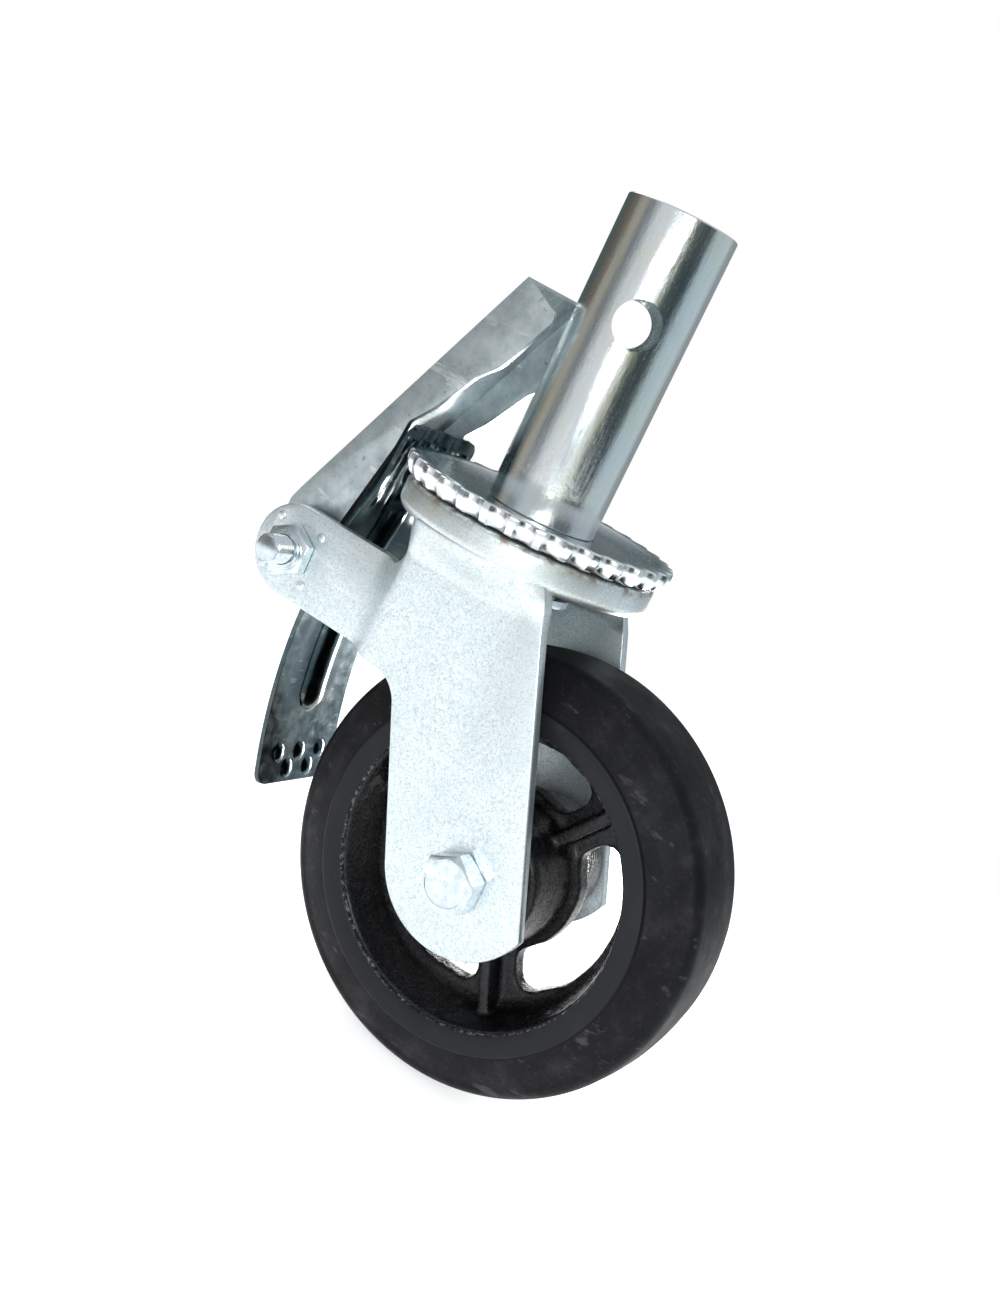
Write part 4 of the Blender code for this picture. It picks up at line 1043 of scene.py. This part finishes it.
def make_brake_plate():
    """The pressed plate: flat shoe with a long bead and dimples, fluted comb, slotted side lugs."""
    columns, rows = 120, 300
    corner = PLATE_CORNER
    bm = bmesh.new()
    grid = []
    for row in range(rows + 1):
        z = PLATE_BOTTOM + (PLATE_TOP - PLATE_BOTTOM) * row / rows
        to_end = min(z - PLATE_BOTTOM, PLATE_TOP - z)
        past = min(corner, max(0.0, corner - to_end))
        narrow = corner - sqrt(corner**2 - past**2)
        half = PLATE_HALF - narrow
        across = [half * (2 * column / columns - 1) for column in range(columns + 1)]
        grid.append([bm.verts.new((plate_front(y, z), y, z)) for y in across])
    skin(bm, grid, wrap=False)
    plate = to_object(bm)
    if sum(face.normal.x for face in plate.data.polygons) < 0:
        plate.data.flip_normals()
    solid = plate.modifiers.new("sheet", "SOLIDIFY")
    solid.thickness = PLATE_SHEET
    solid.offset = -1
    applied(plate)
    bevelled(plate, 0.00035, 2, 60)
    away = Matrix.Rotation(-ROCK_TRAVEL, 2) @ (PIVOT.xz - ROCK.xz)
    start, end = PIVOT.xz, ROCK.xz + away
    along = (end - start).normalized()
    turn = atan2(along.y, along.x)
    wrap_radius = BUSH_RADIUS + RUNNING_GAP + LUG_WALL
    wrap = arc(end, wrap_radius, turn - pi / 2, turn + pi / 2, 24)
    heights = [LUG_TOP + (LUG_BOTTOM - LUG_TOP) * step / 8 for step in range(9)]
    outline = [*[(plate_back(z) + PLATE_SHEET / 2, z) for z in heights], *reversed(wrap)]
    for side in (-1, 1):
        lug = slab(outline, LUG_SHEET / 2)
        lug = cut(lug, slab(capsule(start, end, BUSH_RADIUS + RUNNING_GAP, 20), LUG_SHEET))
        lug = bevelled(lug, 0.0002, 2, 60)
        lug_y = side * (PLATE_HALF - LUG_INSET - LUG_SHEET / 2)
        joined(plate, moved(lug, Matrix.Translation((0, lug_y, 0))))
    piece(plate, "brake_plate_pressed", "plate", DARK, "brake_plate", sharp=32)


# ---- pedal ----
def cam_edge(turn):
    """The cam's edge, as the envelope of the plate's back while the pedal turns."""
    share = ROCK_TRAVEL / (PEDAL_TRAVEL - ROCK_TRAVEL)
    rock = turn * share
    behind = PLATE_REAR_X - PIVOT.x
    below = ROCK.z - PIVOT.z
    reach = behind * cos(rock) + below * sin(rock) - CAM_CLEARANCE
    slope = share * (below * cos(rock) - behind * sin(rock))
    outward = Vector((cos(turn), -sin(turn)))
    onward = Vector((-sin(turn), -cos(turn)))
    return outward * reach + onward * slope


def folded_slab(outline, half, is_fold, radius):
    """A slab whose side edges are rounded only where the outline is the channel's web."""
    obj = slab(outline, half)
    bm = bmesh.new()
    bm.from_mesh(obj.data)
    folds = []
    for edge in bm.edges:
        first, second = (vert.co for vert in edge.verts)
        if abs(first.y - second.y) < 1e-6 and is_fold(first.xz) and is_fold(second.xz):
            folds.append(edge)
    bmesh.ops.bevel(
        bm, geom=folds, offset=radius, segments=6, profile=0.5, affect="EDGES", clamp_overlap=True
    )
    bmesh.ops.recalc_face_normals(bm, faces=bm.faces)
    bm.to_mesh(obj.data)
    bm.free()
    return obj


def make_pedal():
    """A pressed channel: web along the spine with round folds, deep flanges at the tip, a cam."""
    tip = PIVOT.xz + PEDAL_LENGTH * Vector((cos(PEDAL_LEAN), sin(PEDAL_LEAN)))
    up = Vector((cos(SPINE_LEAN), sin(SPINE_LEAN)))
    inward = Vector((up.y, -up.x))
    heel = tip - up * SPINE_LENGTH
    edge = [(*(tip - up * down + inward * depth), 0.012) for down, depth in PEDAL_FLANGE]
    edge[0] = (*edge[0][:2], 0.003)
    inner_y = PEDAL_HALF - PEDAL_SHEET
    above_comb = (comb_back(inner_y, PLATE_TOP) - GAP, PLATE_TOP + 0.001, 0.003)
    beside_comb = (comb_back(inner_y, 0) - GAP, 0, 0.012)
    span = PEDAL_TRAVEL - ROCK_TRAVEL
    cam = [PIVOT.xz + cam_edge(span * step / 16) for step in range(17)]
    behind_plate = (cam[0].x, PIVOT.z + EAR_RADIUS, 0.012)
    back_x = PIVOT.x - HEEL_REACH
    last = cam[-1] - PIVOT.xz
    last_turn = atan2(last.y, last.x)
    for step in range(1, 17):
        share = step / 16
        turn = last_turn - (pi + last_turn) * share
        reach = last.length + (HEEL_REACH - last.length) * share
        cam.append(PIVOT.xz + reach * Vector((cos(turn), sin(turn))))
    outline = rounded(
        [(*tip, 0), *edge, above_comb, beside_comb, behind_plate, *[(*point, 0) for point in cam],
         (back_x, heel.y - HEEL_DROP, 0.004), (*heel, 0.010)],
        8,
    )

    def on_web(point):
        """True on the spine's line and round the heel, where the sheet is folded."""
        from_tip = point - tip
        on_spine = abs(from_tip.dot(inward)) < 0.00012 and from_tip.dot(up) < 1e-5
        behind = point.x < min(PIVOT.x + 0.001, heel.x + 0.012)
        return on_spine or (behind and PIVOT.z - 0.001 < point.y < heel.y + 0.022)

    body = folded_slab(outline, PEDAL_HALF, on_web, 0.0032)
    past_tip = tip + inward * PEDAL_SHEET + up * PEDAL_SHEET * 4
    inner_heel = heel + inward * PEDAL_SHEET
    inner_back = back_x + PEDAL_SHEET
    far_x, low_z, web_end = PIVOT.x + PEDAL_LENGTH, PIVOT.z - PEDAL_LENGTH, PIVOT.z - PIVOT_RADIUS
    hollow = rounded(
        [
            (*past_tip, 0), (far_x, past_tip.y, 0), (far_x, low_z, 0),
            (back_x - PEDAL_SHEET, low_z, 0), (back_x - PEDAL_SHEET, web_end, 0),
            (inner_back, web_end, 0),
            (inner_back, inner_heel.y - HEEL_DROP, 0.002), (*inner_heel, 0.008),
        ],
        8,
    )
    body = cut(body, slab(hollow, PEDAL_HALF - PEDAL_SHEET))
    body = cut(body, along_y(rod(BUSH_RADIUS + GAP, -2 * PEDAL_HALF, 2 * PEDAL_HALF), PIVOT))
    body = bevelled(body, 0.0005, 3, 60)
    piece(body, "brake_pedal_pressed", "pedal", GREY, "brake_pedal", sharp=35)


# ---- pivot, axle and swivel hardware ----
def domed_head(flats, bottom, top):
    """A hexagonal head with a raised rim round a dished face."""
    head = hexagon(flats, bottom, top)
    dish = turned(
        [
            (0, top - 0.0006), (flats * 0.30, top - 0.0005), (flats * 0.40, top - 0.0002),
            (flats * 0.43, top + 0.0005), (0, top + 0.0005),
        ],
        TURN,
    )
    return cut(head, dish)


def make_pivot():
    face = EAR_OUTER_Y + GAP
    head_end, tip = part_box("pivot_bolt")[1].y, -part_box("pivot_bolt")[0].y
    head = moved(domed_head(PIVOT_FLATS, face, head_end), UPSIDE_DOWN)
    bolt = joined(head, rod(PIVOT_RADIUS - 0.0002, -face - 0.003, face - 0.001))
    bolt = joined(bolt, thread(PIVOT_RADIUS, *PIVOT_THREAD, face - 0.0035, tip, 0.0005))
    piece(along_y(bolt, PIVOT), "pivot_bolt_threaded", "fork", FASTENER, "pivot_bolt", sharp=38)
    nut_end = -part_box("pivot_nut")[0].y
    nut = hexagon(PIVOT_FLATS, face, nut_end - 0.0013, chamfer_bottom=False)
    for radius, drop in NUT_COLLARS:
        collar = ring(0.004, radius, face + 0.001, nut_end - drop, TURN, 0.0002)
        nut = joined(nut, collar)
    nut = cut(nut, rod(PIVOT_HOLE, 0, 2 * face))
    piece(along_y(nut, PIVOT), "pivot_nut_stepped", "fork", FASTENER, "pivot_nut", sharp=30)
    turned_node("pivot_bush", PIVOT_HOLE, PIVOT, "fork", STEEL)


def turned_node(node, bore, centre, body, finish):
    """A ring on the Y axis, of the same size as its CAD node, turned finer."""
    low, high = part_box(node)
    made = ring(bore, (high.x - low.x) / 2, -high.y, -low.y)
    piece(along_y(made, centre), node + "_turned", body, finish, node)


def make_axle():
    face = LEG_OUTER_Y + GAP
    head_end, tail = -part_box("axle_bolt")[0].y, -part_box("axle_bolt")[1].y
    shank = rod(AXLE_RADIUS - 0.0002, -face + 0.002, face + 0.003)
    screw = moved(thread(AXLE_RADIUS, *BOLT_THREAD, face - 0.003, -tail), UPSIDE_DOWN)
    bolt = joined(domed_head(BOLT_FLATS, face, head_end), shank, screw)
    piece(along_y(bolt, AXLE), "axle_bolt_forged", "fork", FASTENER, "axle_bolt", sharp=38)
    low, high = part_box("axle_nut")
    nut = cut(hexagon(BOLT_FLATS, -high.y, -low.y), rod(AXLE_HOLE, -2 * high.y, 0))
    piece(along_y(nut, AXLE), "axle_nut_hex", "fork", FASTENER, "axle_nut", sharp=30)
    turned_node("axle_sleeve", AXLE_HOLE, AXLE, "fork", STEEL)
    turned_node("bearing_shell", SHELL_BORE, AXLE, "wheel", STEEL)
    for side in ("near", "far"):
        turned_node(f"thrust_washer_{side}", WASHER_BORE, AXLE, "fork", FASTENER)
        turned_node(f"hub_seal_{side}", SEAL_BORE, AXLE, "wheel", SEAL)


def make_king_bolt():
    low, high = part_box("king_bolt")
    seat = high.z - KING_HEAD_HEIGHT
    shank = rod(KING_RADIUS - 0.0002, low.z + 0.010, seat + 0.002)
    screw = moved(thread(KING_RADIUS, *BOLT_THREAD, -low.z - 0.014, -low.z), UPSIDE_DOWN)
    bolt = joined(domed_head(BOLT_FLATS, seat, high.z), shank, screw)
    piece(bolt, "king_bolt_forged", "stem", FASTENER, "king_bolt", sharp=38)
    low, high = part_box("king_nut")
    nut = cut(hexagon(BOLT_FLATS, low.z, high.z), rod(KING_HOLE, 2 * low.z, 0))
    piece(nut, "king_nut_hex", "stem", FASTENER, "king_nut", sharp=30)
    low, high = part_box("race_retainer")
    made = ring(KING_HOLE, high.x, low.z, high.z)
    piece(made, "race_retainer_turned", "stem", FASTENER, "race_retainer")


def make_races():
    """Round balls in place of the faceted ones. Cages, rollers and spring only change finish."""
    for name, node in frame["nodes"].items():
        if "_ball_" in name and not name.endswith("cage"):
            low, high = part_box(name)
            bm = bmesh.new()
            bmesh.ops.create_uvsphere(bm, u_segments=28, v_segments=18, radius=(high.z - low.z) / 2)
            bmesh.ops.translate(bm, vec=(low + high) / 2, verts=bm.verts)
            piece(to_object(bm), name + "_ground", node["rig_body"], STEEL, name)
        elif name.endswith("cage"):
            dress(node, CAGE_LOOK)
        elif name.startswith("roller_"):
            dress(node, STEEL[0])
    spring = frame["nodes"]["torsion_spring"]
    dress(spring, SPRING_LOOK)
    spring.data.shade_smooth()


make_stem()
make_disc()
make_king_bolt()
make_fork()
make_wheel_core()
make_tyre()
make_axle()
make_pedal()
make_brake_plate()
make_pivot()
make_races()


# ---- stage ----
def make_floor():
    bm = bmesh.new()
    bmesh.ops.create_circle(bm, cap_ends=True, segments=128, radius=0.7)
    floor = to_object(bm, "floor")
    floor.location = (0.03, 0, cad_box[0][2] - 0.0002)
    look = new_look("pale_floor")
    glow = {"Emission_Color": (1, 1, 1, 1), "Emission_Strength": 0.62}
    finish_look(look, (0.93, 0.94, 0.95, 1), 0.9, None, 0.0, **glow)
    floor.data.materials.append(look)


def make_world(facing):
    """White to the eye; to the metal, a room of dark and bright bands round the object."""
    world = bpy.data.worlds.new("studio")
    bpy.context.scene.world = world
    world.use_nodes = True
    world.node_tree.nodes.clear()
    toward = add(world, "TexCoord").outputs["Generated"]
    split = add(world, "SeparateXYZ", Vector=toward).outputs
    angle = sums(world, "ARCTAN2", split[1], split[0])
    turn = sums(world, "DIVIDE", sums(world, "SUBTRACT", angle, facing - pi), 2 * pi)
    bands = [
        (-180, (0.10, 0.14, 0.15)), (-134, (0.12, 0.15, 0.155)), (-126, (0.16, 0.14, 0.12)),
        (-104, (0.22, 0.20, 0.17)), (-96, (0.55, 0.50, 0.42)), (-80, (0.50, 0.47, 0.41)),
        (-72, (0.20, 0.21, 0.22)), (-58, (0.45, 0.49, 0.52)), (-46, (1.0, 1.0, 1.0)),
        (-12, (1.0, 1.0, 1.0)), (-4, (0.72, 0.82, 0.95)), (4, (1.0, 1.0, 1.0)),
        (14, (1.0, 1.0, 0.90)), (24, (0.55, 0.56, 0.42)), (32, (0.07, 0.095, 0.10)),
        (66, (0.05, 0.075, 0.085)), (76, (0.62, 0.74, 0.79)), (124, (0.76, 0.87, 0.92)),
        (134, (0.42, 0.45, 0.47)), (170, (0.40, 0.44, 0.46)), (180, (0.10, 0.14, 0.15)),
    ]
    stops = [((degrees + 180) / 360, colour) for degrees, colour in bands]
    room = ramp(world, sums(world, "FRACT", turn), *stops)
    overhead = between(world, split[2], 0.30, 0.70)
    lit = mix(world, overhead, room, (0.92, 0.95, 1.0))
    dim = add(world, "Background", Color=lit, Strength=0.72).outputs[0]
    white = add(world, "Background", Color=(1, 1, 1, 1)).outputs[0]
    to_eye = add(world, "LightPath").outputs["Is Camera Ray"]
    both = add(world, "MixShader", in0=to_eye, in1=dim, in2=white).outputs[0]
    add(world, "OutputWorld", Surface=both)


def area(name, place, target, size, power, colour):
    """A round lamp at a place, turned to its target."""
    data = bpy.data.lights.new(name, "AREA")
    data.shape = "DISK"
    data.size = size
    data.energy = power
    data.color = colour
    lamp = bpy.data.objects.new(name, data)
    lamp.location = place
    lamp.rotation_euler = (Vector(target) - Vector(place)).to_track_quat("-Z", "Y").to_euler()
    in_scene(lamp)


# ---- camera ----
CAMERA_TURN = radians(23.99)
CAMERA_RISE = radians(13.02)
CAMERA_ROLL = radians(25.92)
CAMERA_LENS = 37.45
CAMERA_PLACE = Vector((0.18846, -0.40534, 0.05634))


def make_camera():
    level = cos(CAMERA_RISE)
    back = Vector((sin(CAMERA_TURN) * level, -cos(CAMERA_TURN) * level, sin(CAMERA_RISE)))
    right = (-back).cross(Vector((0, 0, 1))).normalized()
    up = right.cross(-back)
    across = cos(CAMERA_ROLL) * right + sin(CAMERA_ROLL) * up
    over = -sin(CAMERA_ROLL) * right + cos(CAMERA_ROLL) * up
    data = bpy.data.cameras.new("camera")
    data.lens = CAMERA_LENS
    data.clip_start = 0.01
    camera = in_scene(bpy.data.objects.new("camera", data))
    facing = Matrix((across, over, back)).transposed().to_4x4()
    camera.matrix_world = Matrix.Translation(CAMERA_PLACE) @ facing
    bpy.context.scene.camera = camera
    return back, across, over


back, across, over = make_camera()
make_floor()
make_world(atan2(back.y, back.x))
middle = Vector((0.02, 0, -0.06))
area("key", middle + back * 0.75 + across * 0.20 + over * 0.10, middle, 0.26, 0.4, (1, 1, 0.99))
area("fill", middle + back * 0.75 - across * 0.03 + over * 0.02, middle, 0.26, 1.6, (0.93, 0.97, 1))
area("top", middle - back * 0.35 + over * 0.8, middle, 0.4, 1.0, (1, 1, 1))
bead = Vector((-0.05, 0, -0.085))
area("bead_glint", bead + Vector((0.06, 0.30, -0.06)), bead, 0.12, 1.2, (1, 0.98, 0.94))
bpy.context.scene.view_settings.view_transform = "Standard"
